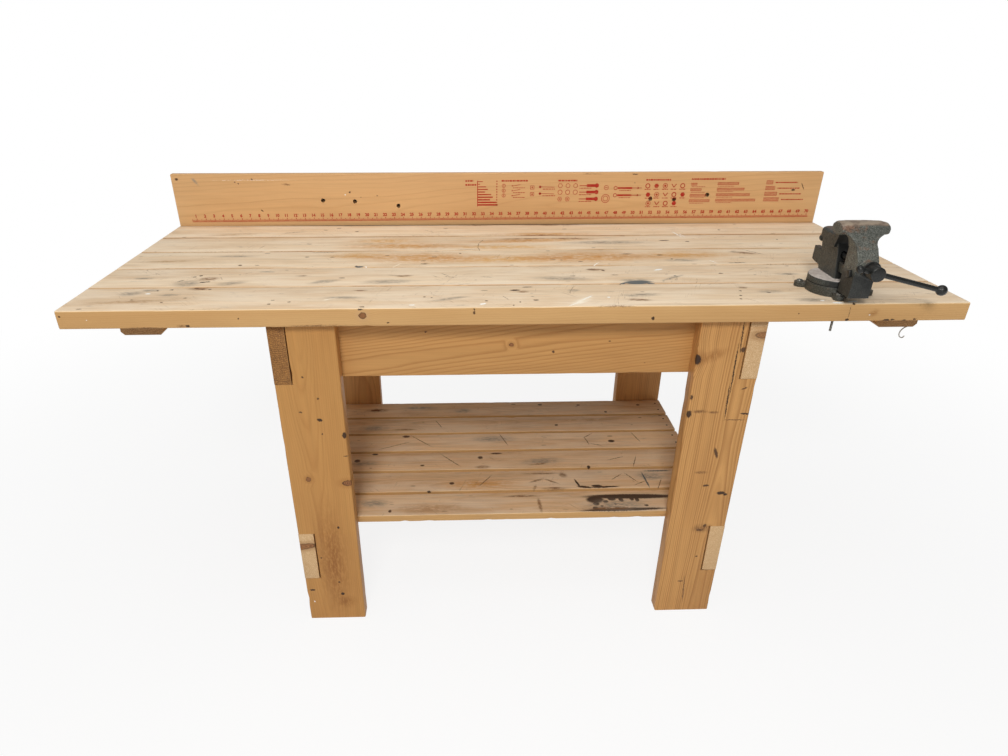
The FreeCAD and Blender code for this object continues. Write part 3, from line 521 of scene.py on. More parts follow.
def mesh_from(work, name):
    mesh = bpy.data.meshes.new(name)
    bmesh.ops.recalc_face_normals(work, faces=work.faces)
    work.to_mesh(mesh)
    work.free()
    return mesh


def welded(node):
    # a CAD node's mesh with its shared corners joined
    work = bmesh.new()
    work.from_mesh(CAD[node].data)
    bmesh.ops.remove_doubles(work, verts=work.verts, dist=1e-6)
    return work


def evaluated(data, add_modifiers=None):
    # the mesh of a curve, text or mesh after its modifiers
    holder = bpy.data.objects.new("holder", data)
    bpy.context.scene.collection.objects.link(holder)
    if add_modifiers:
        add_modifiers(holder)
    graph = bpy.context.evaluated_depsgraph_get()
    result = bpy.data.meshes.new_from_object(holder.evaluated_get(graph))
    bpy.data.objects.remove(holder)
    return result


def carved(mesh, cutters):
    # cuts closed meshes out of a mesh
    tools = []
    for cutter in cutters:
        tool = bpy.data.objects.new("cutter", cutter)
        bpy.context.scene.collection.objects.link(tool)
        tools.append(tool)

    def cut(holder):
        for tool in tools:
            modifier = holder.modifiers.new("cut", "BOOLEAN")
            modifier.operation = "DIFFERENCE"
            modifier.solver = "EXACT"
            modifier.object = tool

    result = evaluated(mesh, cut)
    for tool in tools:
        bpy.data.objects.remove(tool)
    return result


def skin(work, rings):
    # faces between closed rings of vertices, and over both ends
    size = len(rings[0])
    for one, two in zip(rings[:-1], rings[1:]):
        for step in range(size):
            after = (step + 1) % size
            work.faces.new((one[step], one[after], two[after], two[step]))
    work.faces.new(rings[0])
    work.faces.new(rings[-1])


def turned(name, outline, start, run, sides=32):
    # body of revolution; outline points are (distance along the run, radius) in metres
    basis = Vector(run).normalized().to_track_quat("Z", "Y").to_matrix()
    work = bmesh.new()
    rings = []
    for distance, radius in outline:
        ring = []
        for step in range(sides):
            angle = 2.0 * math.pi * step / sides
            local = Vector((radius * math.cos(angle), radius * math.sin(angle), distance))
            ring.append(work.verts.new(Vector(start) + basis @ local))
        rings.append(ring)
    skin(work, rings)
    return mesh_from(work, name)


def slab(name, centre, half_a, half_b, half_c):
    work = bmesh.new()
    rings = []
    for level in (-1.0, 1.0):
        ring = []
        for a, b in ((-1, -1), (1, -1), (1, 1), (-1, 1)):
            ring.append(work.verts.new(centre + half_a * a + half_b * b + half_c * level))
        rings.append(ring)
    skin(work, rings)
    return mesh_from(work, name)


def joined(name, meshes):
    work = bmesh.new()
    for mesh in meshes:
        work.from_mesh(mesh)
    mesh = bpy.data.meshes.new(name)
    work.to_mesh(mesh)
    work.free()
    return mesh


def rounded_section(a0, a1, b0, b1, radius, chords=4):
    points = []
    for quarter, (a, b) in enumerate(((a1, b1), (a0, b1), (a0, b0), (a1, b0))):
        centre_a = a - radius if a == a1 else a + radius
        centre_b = b - radius if b == b1 else b + radius
        for step in range(chords + 1):
            angle = math.radians(90.0 * quarter + 90.0 * step / chords)
            points.append((centre_a + radius * math.cos(angle), centre_b + radius * math.sin(angle)))
    return points


def timber(
    name, low, high, axis, radius, seed, end_bevel=1.2 * MM, pitch=0.022, drift=0.25 * MM,
    chips=1.0, notches=(),
):
    """A sawn board with rounded, slightly uneven and chipped long edges.

    notches: (from, to, side, limit) along the board; the side is 0 to 3, for the section's low
    and high face across it and then through it.
    """
    first, second = (axis + 1) % 3, (axis + 2) % 3
    start, end = low[axis], high[axis]
    stations = {(start, end_bevel), (start + end_bevel, 0.0), (end - end_bevel, 0.0), (end, end_bevel)}
    count = max(2, int((end - start) / pitch))
    for step in range(1, count):
        stations.add((start + (end - start) * step / count, 0.0))
    for notch in notches:
        for edge in notch[:2]:
            if start < edge < end:
                stations |= {(edge - 1e-6, 0.0), (edge + 1e-6, 0.0)}

    work = bmesh.new()
    rings = []
    for position, inset in sorted(stations):
        limits = [low[first], high[first], low[second], high[second]]
        for begin, finish, side, limit in notches:
            if begin < position < finish:
                limits[side] = limit
        a0, a1, b0, b1 = limits
        ring = []
        for a, b in rounded_section(a0 + inset, a1 - inset, b0 + inset, b1 - inset, radius):
            spot, inward = Vector(), Vector()
            spot[axis], spot[first], spot[second] = position, a, b
            inward[first], inward[second] = (a0 + a1) / 2.0 - a, (b0 + b1) / 2.0 - b
            wander = noise.noise_vector(spot * 16.0 + Vector((seed, seed, seed))) * drift
            bite = max(0.0, noise.noise(spot * 85.0 + Vector((seed, 3.1, seed))) - 0.38) * 0.005 * chips
            ring.append(work.verts.new(spot + wander + inward.normalized() * bite))
        rings.append(ring)
    skin(work, rings)
    return mesh_from(work, name)


VOXEL = 1.0 * MM
SMOOTHING = 3
LUMPS = 0.3 * MM


def casting(node, name, seed, cutters, forms, between):
    """A CAD node's mesh with the soft corners and rough skin of a sand casting.

    cutters are taken off it first, then closed forms are blended into it. between: lowest and
    highest level, so that it turns freely on what is under or over it.
    """

    def soften(holder):
        remesh = holder.modifiers.new("remesh", "REMESH")
        remesh.mode = "VOXEL"
        remesh.voxel_size = VOXEL
        smooth = holder.modifiers.new("smooth", "SMOOTH")
        smooth.factor = 0.5
        smooth.iterations = SMOOTHING

    mesh = mesh_from(welded(node), name)
    if cutters:
        mesh = carved(mesh, cutters)
    if forms:
        mesh = joined(name, [mesh] + list(forms))
    mesh = evaluated(mesh, soften)
    offset = Vector((seed, seed * 2.0, seed * 3.0))
    moves = []
    for vertex in mesh.vertices:
        spot = vertex.co + offset
        swell = noise.noise(spot * 60.0) * 0.6 + noise.noise(spot * 240.0) * 0.4
        moves.append(vertex.normal * (swell - 0.3) * LUMPS)
    for vertex, move in zip(mesh.vertices, moves):
        vertex.co += move
        if between:
            vertex.co.z = min(max(vertex.co.z, between[0]), between[1])
    return mesh


def softened(node, name, width):
    """A CAD node's mesh with its sharp edges broken."""
    work = welded(node)
    bmesh.ops.dissolve_limit(work, angle_limit=math.radians(1.0), verts=work.verts, edges=work.edges)

    def break_edges(holder):
        bevel = holder.modifiers.new("bevel", "BEVEL")
        bevel.width = width
        bevel.segments = 2
        bevel.limit_method = "ANGLE"
        bevel.angle_limit = math.radians(30.0)

    return evaluated(mesh_from(work, name), break_edges)


def fastener_spots(node):
    """(middle of the head's outer face, outward direction) of each screw or nail in a node."""
    work = welded(node)
    left = set(work.verts)
    spots = []
    while left:
        stack = [left.pop()]
        group = []
        while stack:
            vertex = stack.pop()
            group.append(vertex.co.copy())
            for edge in vertex.link_edges:
                other = edge.other_vert(vertex)
                if other in left:
                    left.remove(other)
                    stack.append(other)
        low = [min(point[axis] for point in group) for axis in range(3)]
        high = [max(point[axis] for point in group) for axis in range(3)]
        spans = [b - a for a, b in zip(low, high)]
        axis = spans.index(max(spans))
        middle = [(a + b) / 2.0 for a, b in zip(low, high)]
        widths = []
        for limit in (low[axis], high[axis]):
            apart = [0.0]
            for point in group:
                if abs(point[axis] - limit) < 1e-5:
                    offsets = [point[index] - middle[index] for index in range(3) if index != axis]
                    apart.append(math.hypot(*offsets))
            widths.append(max(apart))
        direction = Vector()
        direction[axis] = -1.0 if widths[0] > widths[1] else 1.0
        middle[axis] = low[axis] if widths[0] > widths[1] else high[axis]
        spots.append((Vector(middle), direction))
    work.free()
    spots.sort(key=lambda item: tuple(round(value, 5) for value in item[0]))
    return spots


# ---------------------------------------------------------------- stage, light and camera
def build_stage():
    half = 30.0
    corners = [(-half, -half, 0), (half, -half, 0), (half, half, 0), (-half, half, 0)]
    mesh = bpy.data.meshes.new("floor")
    mesh.from_pydata(corners, [], [(0, 1, 2, 3)])
    floor = bpy.data.objects.new("floor", mesh)
    bpy.context.scene.collection.objects.link(floor)
    shader = Shader("floor_white")
    shader.surface.inputs["Base Color"].default_value = (0.9, 0.9, 0.9, 1.0)
    shader.surface.inputs["Roughness"].default_value = 0.9
    shader.surface.inputs["Specular IOR Level"].default_value = 0.1
    path = shader.nodes.new("ShaderNodeLightPath")
    seen = shader.math("MAXIMUM", path.outputs["Is Camera Ray"], path.outputs["Is Glossy Ray"])
    glow = shader.nodes.new("ShaderNodeEmission")
    glow.inputs[0].default_value = (1.0, 1.0, 1.0, 1.0)
    glow.inputs[1].default_value = 1.0
    far = shader.step(shader.vector("LENGTH", shader.place), 1.1, 3.0, 0.86, 1.0)
    blend = shader.nodes.new("ShaderNodeMixShader")
    shader.links.new(shader.times(seen, far), blend.inputs[0])
    shader.links.new(shader.surface.outputs[0], blend.inputs[1])
    shader.links.new(glow.outputs[0], blend.inputs[2])
    shader.links.new(blend.outputs[0], shader.output.inputs[0])
    mesh.materials.append(shader.material)


def build_light():
    world = bpy.data.worlds.new("studio")
    bpy.context.scene.world = world
    world.use_nodes = True
    nodes = world.node_tree.nodes
    links = world.node_tree.links
    nodes.clear()
    output = nodes.new("ShaderNodeOutputWorld")
    path = nodes.new("ShaderNodeLightPath")
    lit = nodes.new("ShaderNodeBackground")
    lit.inputs[0].default_value = (1.0, 0.99, 0.975, 1.0)
    lit.inputs[1].default_value = 0.28
    seen = nodes.new("ShaderNodeBackground")
    seen.inputs[0].default_value = (1.0, 1.0, 1.0, 1.0)
    seen.inputs[1].default_value = 1.0
    either = nodes.new("ShaderNodeMath")
    either.operation = "MAXIMUM"
    links.new(path.outputs["Is Camera Ray"], either.inputs[0])
    links.new(path.outputs["Is Transmission Ray"], either.inputs[1])
    blend = nodes.new("ShaderNodeMixShader")
    links.new(either.outputs[0], blend.inputs[0])
    links.new(lit.outputs[0], blend.inputs[1])
    links.new(seen.outputs[0], blend.inputs[2])
    links.new(blend.outputs[0], output.inputs[0])

    # name, place, target, size, power
    lamps = (
        ("overhead", (-0.2, -0.3, 3.3), (0.0, 0.05, 0.5), 2.4, 32.0),
        ("front", (-0.5, -3.2, 3.05), (0.0, 0.0, 0.5), 0.85, 74.0),
    )
    for name, place, target, size, power in lamps:
        data = bpy.data.lights.new(name, "AREA")
        data.size = size
        data.energy = power
        data.color = (1.0, 0.985, 0.96)
        lamp = bpy.data.objects.new(name, data)
        bpy.context.scene.collection.objects.link(lamp)
        lamp.location = place
        aim = Vector(target) - Vector(place)
        lamp.rotation_euler = aim.to_track_quat("-Z", "Y").to_euler()
    bpy.context.scene.view_settings.view_transform = "Standard"


def build_camera():
    # solved on the rule and the boards: position in bench inches, angles in radians
    position = bench(31.111, -51.02, 18.284)
    pitch, yaw, roll = 0.500, 0.034, 0.002
    focal_px, centre_x, centre_y = 685.39, 481.105, 415.086
    width_px, height_px = 1008.0, 756.0
    data = bpy.data.cameras.new("camera")
    data.sensor_fit = "HORIZONTAL"
    data.sensor_width = 36.0
    data.lens = focal_px / width_px * data.sensor_width
    data.shift_x = (width_px / 2.0 - centre_x) / width_px
    data.shift_y = (centre_y - height_px / 2.0) / width_px
    data.clip_end = 100.0
    camera = bpy.data.objects.new("camera", data)
    bpy.context.scene.collection.objects.link(camera)
    turn = Matrix.Rotation(-yaw, 4, "Z")
    tilt = Matrix.Rotation(math.pi / 2.0 - pitch, 4, "X")
    spin = Matrix.Rotation(roll, 4, "Z")
    camera.matrix_world = Matrix.Translation(position) @ turn @ tilt @ spin
    bpy.context.scene.camera = camera


# ---------------------------------------------------------------- marks
# {kind: [(x, y or z, half length, half width, turn in degrees if any)]}, in bench inches. Each
# kind's marks go from the left end to the right, then along the front planks and the back ones.
TOP_MARKS = {
    "brown": [
        # the first is painted shade along the joint between the third and fourth planks
        (10.0, 16.6, 10.0, 0.13), (42.0, 27.0, 3.6, 0.3, 1), (33.0, 26.9, 2.0, 0.16),
        (9.3, 7.9, 0.9, 0.5, 10), (9.4, 5.2, 0.9, 0.4), (38.0, 21.0, 3.0, 0.3, 3), (43.0, 20.9, 2.6, 0.3, -4),
        (40.0, 22.5, 2.4, 0.22), (55.1, 4.35, 0.42, 0.2), (59.2, 15.0, 1.3, 0.4, -20),
        (47.5, 14.9, 0.6, 0.25), (45.6, 1.4, 1.1, 0.3, -8), (26.3, 8.3, 0.7, 0.28, 10),
        (22.9, 4.35, 0.6, 0.16, -5), (36.4, 3.7, 0.5, 0.25), (43.6, 9.7, 0.9, 0.3, 5), (17.2, 8.6, 0.5, 0.2),
    ],
    "line": [
        (19.5, 16.5, 3.0, 0.06, 2), (62.0, 11.05, 3.2, 0.06), (10.4, 8.0, 0.02, 0.5, 25),
        (33.15, 17.2, 0.035, 0.7, 6), (33.15, 18.5, 0.035, 0.8, -4), (33.5, 20.0, 0.035, 0.8, -20),
        (32.0, 16.95, 1.2, 0.04), (28.4, 16.4, 1.0, 0.05, -8), (18.0, 16.2, 1.6, 0.06, -6),
        (60.3, 15.2, 1.3, 0.05, -52), (25.4, 8.5, 0.7, 0.05, -12), (29.9, 8.6, 0.03, 0.6, 40),
        (30.4, 7.9, 0.7, 0.04, -20), (33.6, 7.8, 0.6, 0.05, -12), (34.9, 2.2, 0.03, 0.6, 25),
        (13.4, 24.3, 1.3, 0.06, 12), (27.9, 24.6, 0.6, 0.04, -30),
    ],
    "gouge": [
        (7.9, 8.5, 0.16, 0.10, 20), (8.35, 8.85, 0.14, 0.12), (9.1, 6.95, 0.24, 0.12, 8),
        (9.5, 7.05, 0.20, 0.09), (9.15, 5.35, 0.22, 0.12, 15), (9.7, 5.1, 0.16, 0.14),
        (10.3, 5.0, 0.12, 0.10), (7.1, 7.4, 0.06, 0.3, -40), (6.1, 4.75, 0.12, 0.08), (7.2, 4.95, 0.13, 0.08),
        (21.7, 11.35, 0.12, 0.16), (27.9, 12.0, 0.30, 0.10), (27.8, 13.0, 0.26, 0.06),
        (52.6, 19.9, 0.5, 0.12, 2), (54.9, 19.4, 0.2, 0.1, 2), (44.9, 5.4, 0.1, 0.06),
        (54.2, 2.25, 0.10, 0.10), (55.1, 4.15, 0.3, 0.07), (56.8, 2.95, 0.18, 0.09), (51.5, 13.0, 0.12, 0.12),
        (54.8, 10.9, 0.3, 0.05), (57.3, 11.6, 0.8, 0.06, 3), (35.8, 4.1, 0.4, 0.14, 5),
    ],
    "grey": [
        (7.9, 6.6, 1.2, 0.9), (4.2, 4.1, 0.9, 0.6, 10), (5.5, 4.8, 0.8, 0.35), (7.4, 3.6, 0.9, 0.3),
        (11.6, 6.6, 1.2, 0.5, 15), (3.6, 8.2, 1.0, 0.3), (46.5, 19.3, 4.2, 0.7), (46.4, 6.6, 1.5, 0.35, 5),
        (50.0, 7.2, 1.3, 0.25, 35), (57.0, 3.2, 1.0, 0.4), (52.4, 12.6, 1.6, 0.5), (59.6, 1.0, 1.4, 0.5),
        (60.5, 8.0, 1.0, 0.3), (46.0, 2.6, 1.5, 0.5, 6), (40.7, 3.9, 0.5, 0.3), (25.0, 6.7, 2.2, 0.6, 4),
        (19.5, 6.9, 1.3, 0.5, 20), (40.2, 7.2, 2.4, 0.6, -6), (30.4, 2.1, 1.6, 0.3, 20),
        (21.7, 2.6, 1.6, 0.3), (9.6, 15.0, 2.0, 0.3), (13.9, 9.9, 0.7, 0.2),
    ],
    "white": [
        (5.6, 4.0, 0.24, 0.14), (22.6, 11.2, 0.05, 0.2, 20), (44.0, 11.6, 0.05, 0.7, -32),
        (54.7, 22.4, 0.07, 1.3, 10), (55.1, 22.0, 0.05, 0.8, 12), (40.4, 0.7, 0.06, 0.9, -48),
        (41.4, 1.9, 0.08, 0.9, -44), (55.2, 12.0, 0.04, 0.6, 25), (43.3, 2.1, 0.14, 0.12),
        (49.3, 9.6, 0.5, 0.2, 25), (33.0, 0.8, 0.3, 0.16, 30), (27.4, 0.7, 0.25, 0.12),
        (61.3, 0.25, 0.5, 0.16), (62.6, 0.5, 0.5, 0.18, 15), (60.3, 0.8, 0.2, 0.1),
    ],
    "speck": [
        (16.1, 1.2, 0.14, 0.09), (17.6, 1.65, 0.12, 0.08), (9.0, 2.85, 0.13, 0.08), (7.5, 1.8, 0.12, 0.08),
        (4.9, 2.5, 0.10, 0.06), (16.2, 2.1, 0.14, 0.06), (28.8, 14.3, 0.26, 0.08), (31.3, 15.5, 0.10, 0.10),
        (40.1, 13.2, 0.30, 0.06), (40.9, 12.95, 0.12, 0.06), (54.6, 3.4, 0.09, 0.10), (53.9, 1.4, 0.10, 0.12),
        (50.7, 14.4, 0.28, 0.12), (59.9, 24.3, 0.14, 0.12), (60.7, 7.9, 0.3, 0.1), (54.6, 8.3, 0.2, 0.1),
        (64.6, 20.0, 0.1, 0.1), (41.2, 7.9, 0.25, 0.08), (45.0, 8.1, 0.3, 0.07), (36.9, 4.9, 0.4, 0.08, 4),
        (28.3, 2.6, 0.10, 0.09), (28.9, 2.4, 0.08, 0.08), (33.3, 1.5, 0.12, 0.09), (36.0, 1.15, 0.08, 0.1),
        (35.4, 0.4, 0.08, 0.1), (37.3, 1.6, 0.22, 0.1, 5), (23.5, 0.35, 0.2, 0.1), (43.2, 9.9, 0.4, 0.1, 5),
        (44.2, 9.5, 0.12, 0.2, 30), (15.9, 19.4, 0.25, 0.08), (16.6, 14.6, 0.2, 0.1),
        (10.9, 12.0, 0.16, 0.16, 20), (20.1, 24.5, 0.2, 0.1),
    ],
    "blue": [
        (22.0, 11.25, 0.40, 0.22, 10), (46.6, 5.95, 1.3, 0.55, 6), (45.3, 5.7, 0.5, 0.14, 25),
        (47.6, 5.6, 0.4, 0.12, -10), (48.9, 6.25, 0.14, 0.08), (49.6, 6.8, 0.12, 0.1),
        (50.3, 7.7, 0.12, 0.12),
    ],
    "orange": [
        (27.5, 14.0, 5.6, 1.9, 2), (44.0, 13.8, 6.4, 1.9), (25.5, 18.3, 5.8, 1.3, 1),
        (38.6, 20.2, 7.0, 0.8, 4), (40.5, 22.9, 5.6, 0.7),
    ],
    "honey": [
        (35.5, 13.4, 6.5, 1.5), (21.5, 14.8, 3.2, 1.2), (53.0, 14.4, 4.5, 1.3), (23.5, 20.4, 3.6, 0.9),
        (35.6, 17.8, 6.0, 0.8),
    ],
    "pale": [(41.0, 1.3, 0.4, 1.3, -45), (25.4, 11.6, 0.05, 0.9, -30), (20.6, 2.2, 0.7, 0.12, 30)],
    "shade": [(7.0, 23.5, 3.0, 0.5, 8), (4.0, 13.5, 2.5, 0.4, 5), (5.0, 2.0, 4.0, 0.5, 6)],
}

# the front face of the first plank
FRONT_EDGE_MARKS = {
    "speck": [
        (32.3, -0.47, 0.08, 0.14), (32.3, -0.2, 0.05, 0.08), (25.5, -1.2, 0.1, 0.06),
        (67.8, -1.36, 0.12, 0.06), (0.3, -0.45, 0.10, 0.06, -20), (58.2, -0.8, 0.06, 0.05),
        (13.9, -0.75, 0.07, 0.05),
    ],
    "gouge": [
        (46.5, -1.07, 0.12, 0.13), (62.5, -0.05, 0.10, 0.08), (65.5, -1.42, 0.26, 0.07),
        (66.0, -1.38, 0.14, 0.06), (66.95, -1.45, 0.16, 0.07), (62.25, -1.35, 0.12, 0.10),
        (23.4, -0.1, 0.2, 0.06), (9.9, -1.32, 0.16, 0.08),
    ],
    "brown": [
        (9.4, -1.32, 0.35, 0.10), (43.5, -0.05, 1.6, 0.05), (20.0, -1.4, 2.4, 0.06), (6.5, -1.44, 1.4, 0.06),
    ],
    "white": [(64.0, -0.95, 0.06, 0.05), (2.3, -0.75, 0.05, 0.05)],
    "shade": [(64.3, -0.8, 0.42, 0.30, 20)],
    "line": [(62.3, -0.75, 0.025, 0.6)],
}

# the front board with its scorched band first, then board by board to the back
SHELF_MARKS = {
    "gouge": [
        (48.0, 5.05, 4.2, 0.34, -1), (46.9, 2.9, 3.9, 0.20, 1), (44.4, 4.6, 0.8, 0.5), (44.4, 3.9, 0.3, 0.24),
        (45.4, 4.25, 0.26, 0.2), (46.1, 4.72, 0.4, 0.3), (47.0, 4.5, 0.22, 0.3, 20), (48.1, 4.6, 0.2, 0.24),
        (48.6, 4.5, 0.2, 0.3), (46.3, 3.8, 0.12, 0.16), (44.2, 3.2, 0.26, 0.22), (44.9, 3.5, 0.14, 0.12),
        (49.3, 3.5, 0.2, 0.14), (43.1, 7.5, 0.10, 0.7, 15), (43.7, 6.85, 0.7, 0.16, -12),
        (45.8, 6.78, 1.4, 0.12, 2), (45.0, 7.0, 0.5, 0.16), (27.8, 6.5, 0.22, 0.12), (44.8, 10.6, 0.16, 0.2),
        (21.6, 13.8, 0.3, 0.14), (48.3, 15.9, 0.34, 0.24), (42.5, 19.8, 0.18, 0.16), (20.6, 24.1, 0.5, 0.2),
        (41.1, 25.0, 0.24, 0.14), (49.0, 22.9, 0.16, 0.16),
    ],
    "grey": [
        (46.5, 3.6, 3.2, 1.0), (22.4, 4.6, 1.5, 0.7), (51.0, 8.6, 1.6, 0.8), (39.9, 11.9, 2.2, 0.7, 6),
        (20.6, 12.0, 1.4, 0.5), (34.8, 16.8, 2.4, 0.7), (20.9, 19.6, 1.6, 0.7), (31.4, 23.7, 1.0, 0.5),
        (26.0, 24.6, 2.0, 0.4),
    ],
    "brown": [
        (45.6, 3.1, 2.6, 0.24), (37.2, 5.4, 1.8, 0.18), (38.8, 3.9, 0.2, 1.2, 3), (39.0, 8.2, 0.9, 0.16, 25),
        (40.4, 8.0, 0.9, 0.14, -35), (38.6, 6.9, 0.5, 0.16, 70), (40.6, 6.7, 1.2, 0.24),
        (41.8, 9.1, 0.4, 0.5, 30), (39.6, 9.45, 2.0, 0.16), (39.4, 11.3, 1.0, 0.16, 10),
        (33.4, 10.9, 0.8, 0.3), (24.5, 19.2, 1.4, 0.18), (20.8, 24.1, 1.3, 0.5),
    ],
    "speck": [
        (24.1, 3.3, 0.14, 0.2), (30.1, 7.9, 0.24, 0.2), (19.8, 12.5, 0.3, 0.26), (26.9, 11.4, 0.2, 0.14),
        (33.2, 12.8, 0.26, 0.24), (35.0, 13.6, 0.6, 0.14), (24.8, 17.6, 0.4, 0.22), (45.9, 24.8, 0.2, 0.14),
        (53.4, 24.6, 0.2, 0.14),
    ],
    "shade": [(28.0, 3.6, 3.5, 0.8), (46.5, 21.0, 4.5, 0.4)],
    "blue": [(50.3, 8.0, 0.10, 1.5, 4), (51.9, 9.6, 1.5, 0.12)],
    "line": [
        (48.9, 8.4, 0.05, 1.1, 30), (49.6, 7.4, 0.8, 0.05, 30), (51.6, 7.2, 0.05, 1.0, -25),
        (47.4, 8.6, 0.9, 0.05, 40), (33.6, 8.3, 0.05, 1.3, -35), (29.9, 12.4, 0.05, 1.8, 40),
        (48.0, 12.2, 1.0, 0.05, 20), (50.0, 11.6, 0.05, 1.2, -20), (26.5, 16.6, 0.05, 2.0, 44),
        (36.0, 16.6, 0.05, 1.4, 18), (45.8, 17.2, 0.8, 0.05, 40), (45.5, 16.0, 0.05, 0.9, 10),
        (46.4, 15.2, 0.8, 0.05, -20), (51.3, 16.7, 0.05, 1.2, 15), (23.6, 15.6, 2.0, 0.05, 25),
        (28.5, 20.4, 0.05, 1.0, 25),
    ],
    "honey": [(33.0, 7.6, 4.0, 0.9)],
}

LEFT_LEG_MARKS = {
    "gouge": [
        (18.99, -10.39, 0.22, 0.12, -10), (19.46, -21.99, 0.10, 0.14), (19.08, -30.26, 0.18, 0.14),
        (16.16, -29.67, 0.26, 0.10), (20.95, -11.95, 0.16, 0.3),
    ],
    "speck": [
        (18.01, -6.30, 0.08, 0.08), (19.07, -8.34, 0.10, 0.08), (17.45, -9.62, 0.14, 0.06),
        (19.05, -11.81, 0.06, 0.08), (17.46, -25.60, 0.08, 0.08), (18.87, -28.72, 0.10, 0.10),
        (20.9, -14.1, 0.22, 0.06),
    ],
    "white": [(16.2, -31.2, 0.08, 0.1)],
    "shade": [(19.2, -31.2, 1.1, 0.9), (18.6, -26.0, 1.4, 6.0)],
}

RIGHT_LEG_MARKS = {
    "gouge": [
        (50.95, -5.15, 0.34, 0.40, 20), (54.43, -3.2, 0.045, 1.3, 3), (54.30, -6.2, 0.05, 2.0, 1),
        (54.24, -9.2, 0.05, 1.4, 2), (56.04, -10.38, 0.4, 0.07, -5), (51.05, -10.34, 0.2, 0.3),
        (55.33, -18.80, 0.36, 0.16), (55.77, -18.96, 0.16, 0.12), (53.98, -23.11, 0.3, 0.10),
        (54.4, -22.6, 0.14, 0.16),
    ],
    "shade": [(52.3, -4.8, 1.2, 0.5, 20)],
    "speck": [
        (54.73, -4.30, 0.2, 0.2), (51.06, -8.71, 0.12, 0.2), (54.13, -14.39, 0.14, 0.5, 20),
        (53.78, -17.93, 0.26, 0.1), (54.20, -26.37, 0.10, 0.08), (53.00, -29.54, 0.24, 0.06),
    ],
    "line": [(55.52, -7.90, 0.3, 0.08, 20), (53.5, -30.6, 0.05, 1.8, 4), (55.2, -10.98, 1.0, 0.05)],
    "brown": [
        (51.95, -10.10, 0.8, 0.16), (53.2, -10.2, 0.5, 0.12), (53.13, -16.47, 0.6, 0.16),
        (54.18, -22.9, 0.9, 0.5),
    ],
}

APRON_MARKS = {
    "speck": [(28.3, -3.0, 0.1, 0.08), (39.07, -4.9, 0.1, 0.12), (43.8, -4.0, 0.08, 0.06)],
}

BACKBOARD_MARKS = {
    "grey": [(2.54, 4.77, 0.5, 0.16, -52)],
    "brown": [(12.36, 4.42, 0.5, 0.10, -5), (46.0, 5.4, 1.2, 0.05)],
    "speck": [
        (8.71, 4.98, 0.10, 0.06), (6.80, 4.67, 0.08, 0.05), (7.18, 4.51, 0.08, 0.05, -20),
        (9.34, 1.62, 0.14, 0.06, -40), (19.22, 3.55, 0.10, 0.08), (0.6, 5.0, 0.16, 0.12),
        (69.9, 4.0, 0.4, 0.05, -60), (68.9, 3.6, 0.2, 0.1), (50.8, 5.35, 0.3, 0.05),
    ],
    "white": [(18.7, 3.3, 0.08, 0.08)],
    "pale": [(8.8, 4.88, 4.4, 0.03)],
}

MARK_DEPTH = 8.0 * MM       # half of how far a mark reaches through the board's face
MARK_STRENGTH = 0.95
GROWTH = {"gouge": (1.15, 1.25), "speck": (1.15, 1.25)}     # of half length and half width


def marks_on(entries, low, high, upright):
    """The marks of a list that touch a board's front face (upright) or its top."""
    chosen = []
    for kind, rows in entries.items():
        grow_a, grow_b = GROWTH.get(kind, (1.0, 1.0))
        for x, other, half_a, half_b, *turn in rows:
            angle = math.radians(turn[0] if turn else 0)
            half_a, half_b = half_a * grow_a * INCH, half_b * grow_b * INCH
            if upright:
                place = bench(x, 0.0, other)
                place.y = low[1]
                half = (half_a, MARK_DEPTH, half_b)
                turned_by = (0.0, -angle, 0.0)
            else:
                place = bench(x, other)
                place.z = high[2]
                half = (half_a, half_b, MARK_DEPTH)
                turned_by = (0.0, 0.0, angle)
            margin = max(half)
            if all(low[axis] - margin < place[axis] < high[axis] + margin for axis in range(3)):
                chosen.append((kind, tuple(place), half, turned_by, MARK_STRENGTH))
    return chosen


def knot_on(low, x, z, half_x, half_z, turn, darkness):
    # a knot in a board's front face
    place = bench(x, 0.0, z)
    place.y = low[1]
    half = (half_x * INCH, MARK_DEPTH, half_z * INCH)
    return (tuple(place), half, (0.0, -math.radians(turn), 0.0), darkness)


def centre_of(low, high):
    return [(a + b) / 2.0 for a, b in zip(low, high)]


# ---------------------------------------------------------------- the wooden parts
BACK_JOINT = 3.0 * MM            # open joint before the backboard
BACK_JOINT_SHADE = 15.0 * MM     # where the painted shadow beside it has faded out


def build_top():
    piths = (
        (0.010, -0.085, 0.004, 0.012, 0.0036), (-0.02, 0.095, 0.010, -0.009, 0.0042),
        (0.03, -0.07, -0.006, 0.016, 0.0034), (-0.01, 0.080, 0.008, 0.014, 0.0040),
        (0.02, -0.100, -0.004, -0.012, 0.0038),
    )
    for index, pith in enumerate(piths):
        node = "top_plank_%d" % (index + 1)
        low, high = [list(corner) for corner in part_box(node)]
        centre = centre_of(low, high)
        seed = 1.0 + index * 3.1
        marks = marks_on(TOP_MARKS, low, high, upright=False)
        knots = []
        if index == 0:
            marks += marks_on(FRONT_EDGE_MARKS, low, high, upright=True)
            knots = [knot_on(low, 23.55, -0.6, 0.30, 0.27, 0.0, 0.95)]
        last = index == len(piths) - 1
        if last:
            high[1] -= BACK_JOINT
        half_wide = (high[1] - low[1]) / 2.0
        look = lumber(
            node + "_wood", "top", 0, centre, pith, seed, knots, marks, worn=1.0,
            seam=half_wide, edges=(index > 0, True), painted_gap_shade=BACK_JOINT_SHADE if last else 0.0,
        )
        mesh = timber(node + "_board", low, high, 0, 3.0 * MM, seed, pitch=0.014)
        add_piece(node + "_board", mesh, "bench", look, [node])


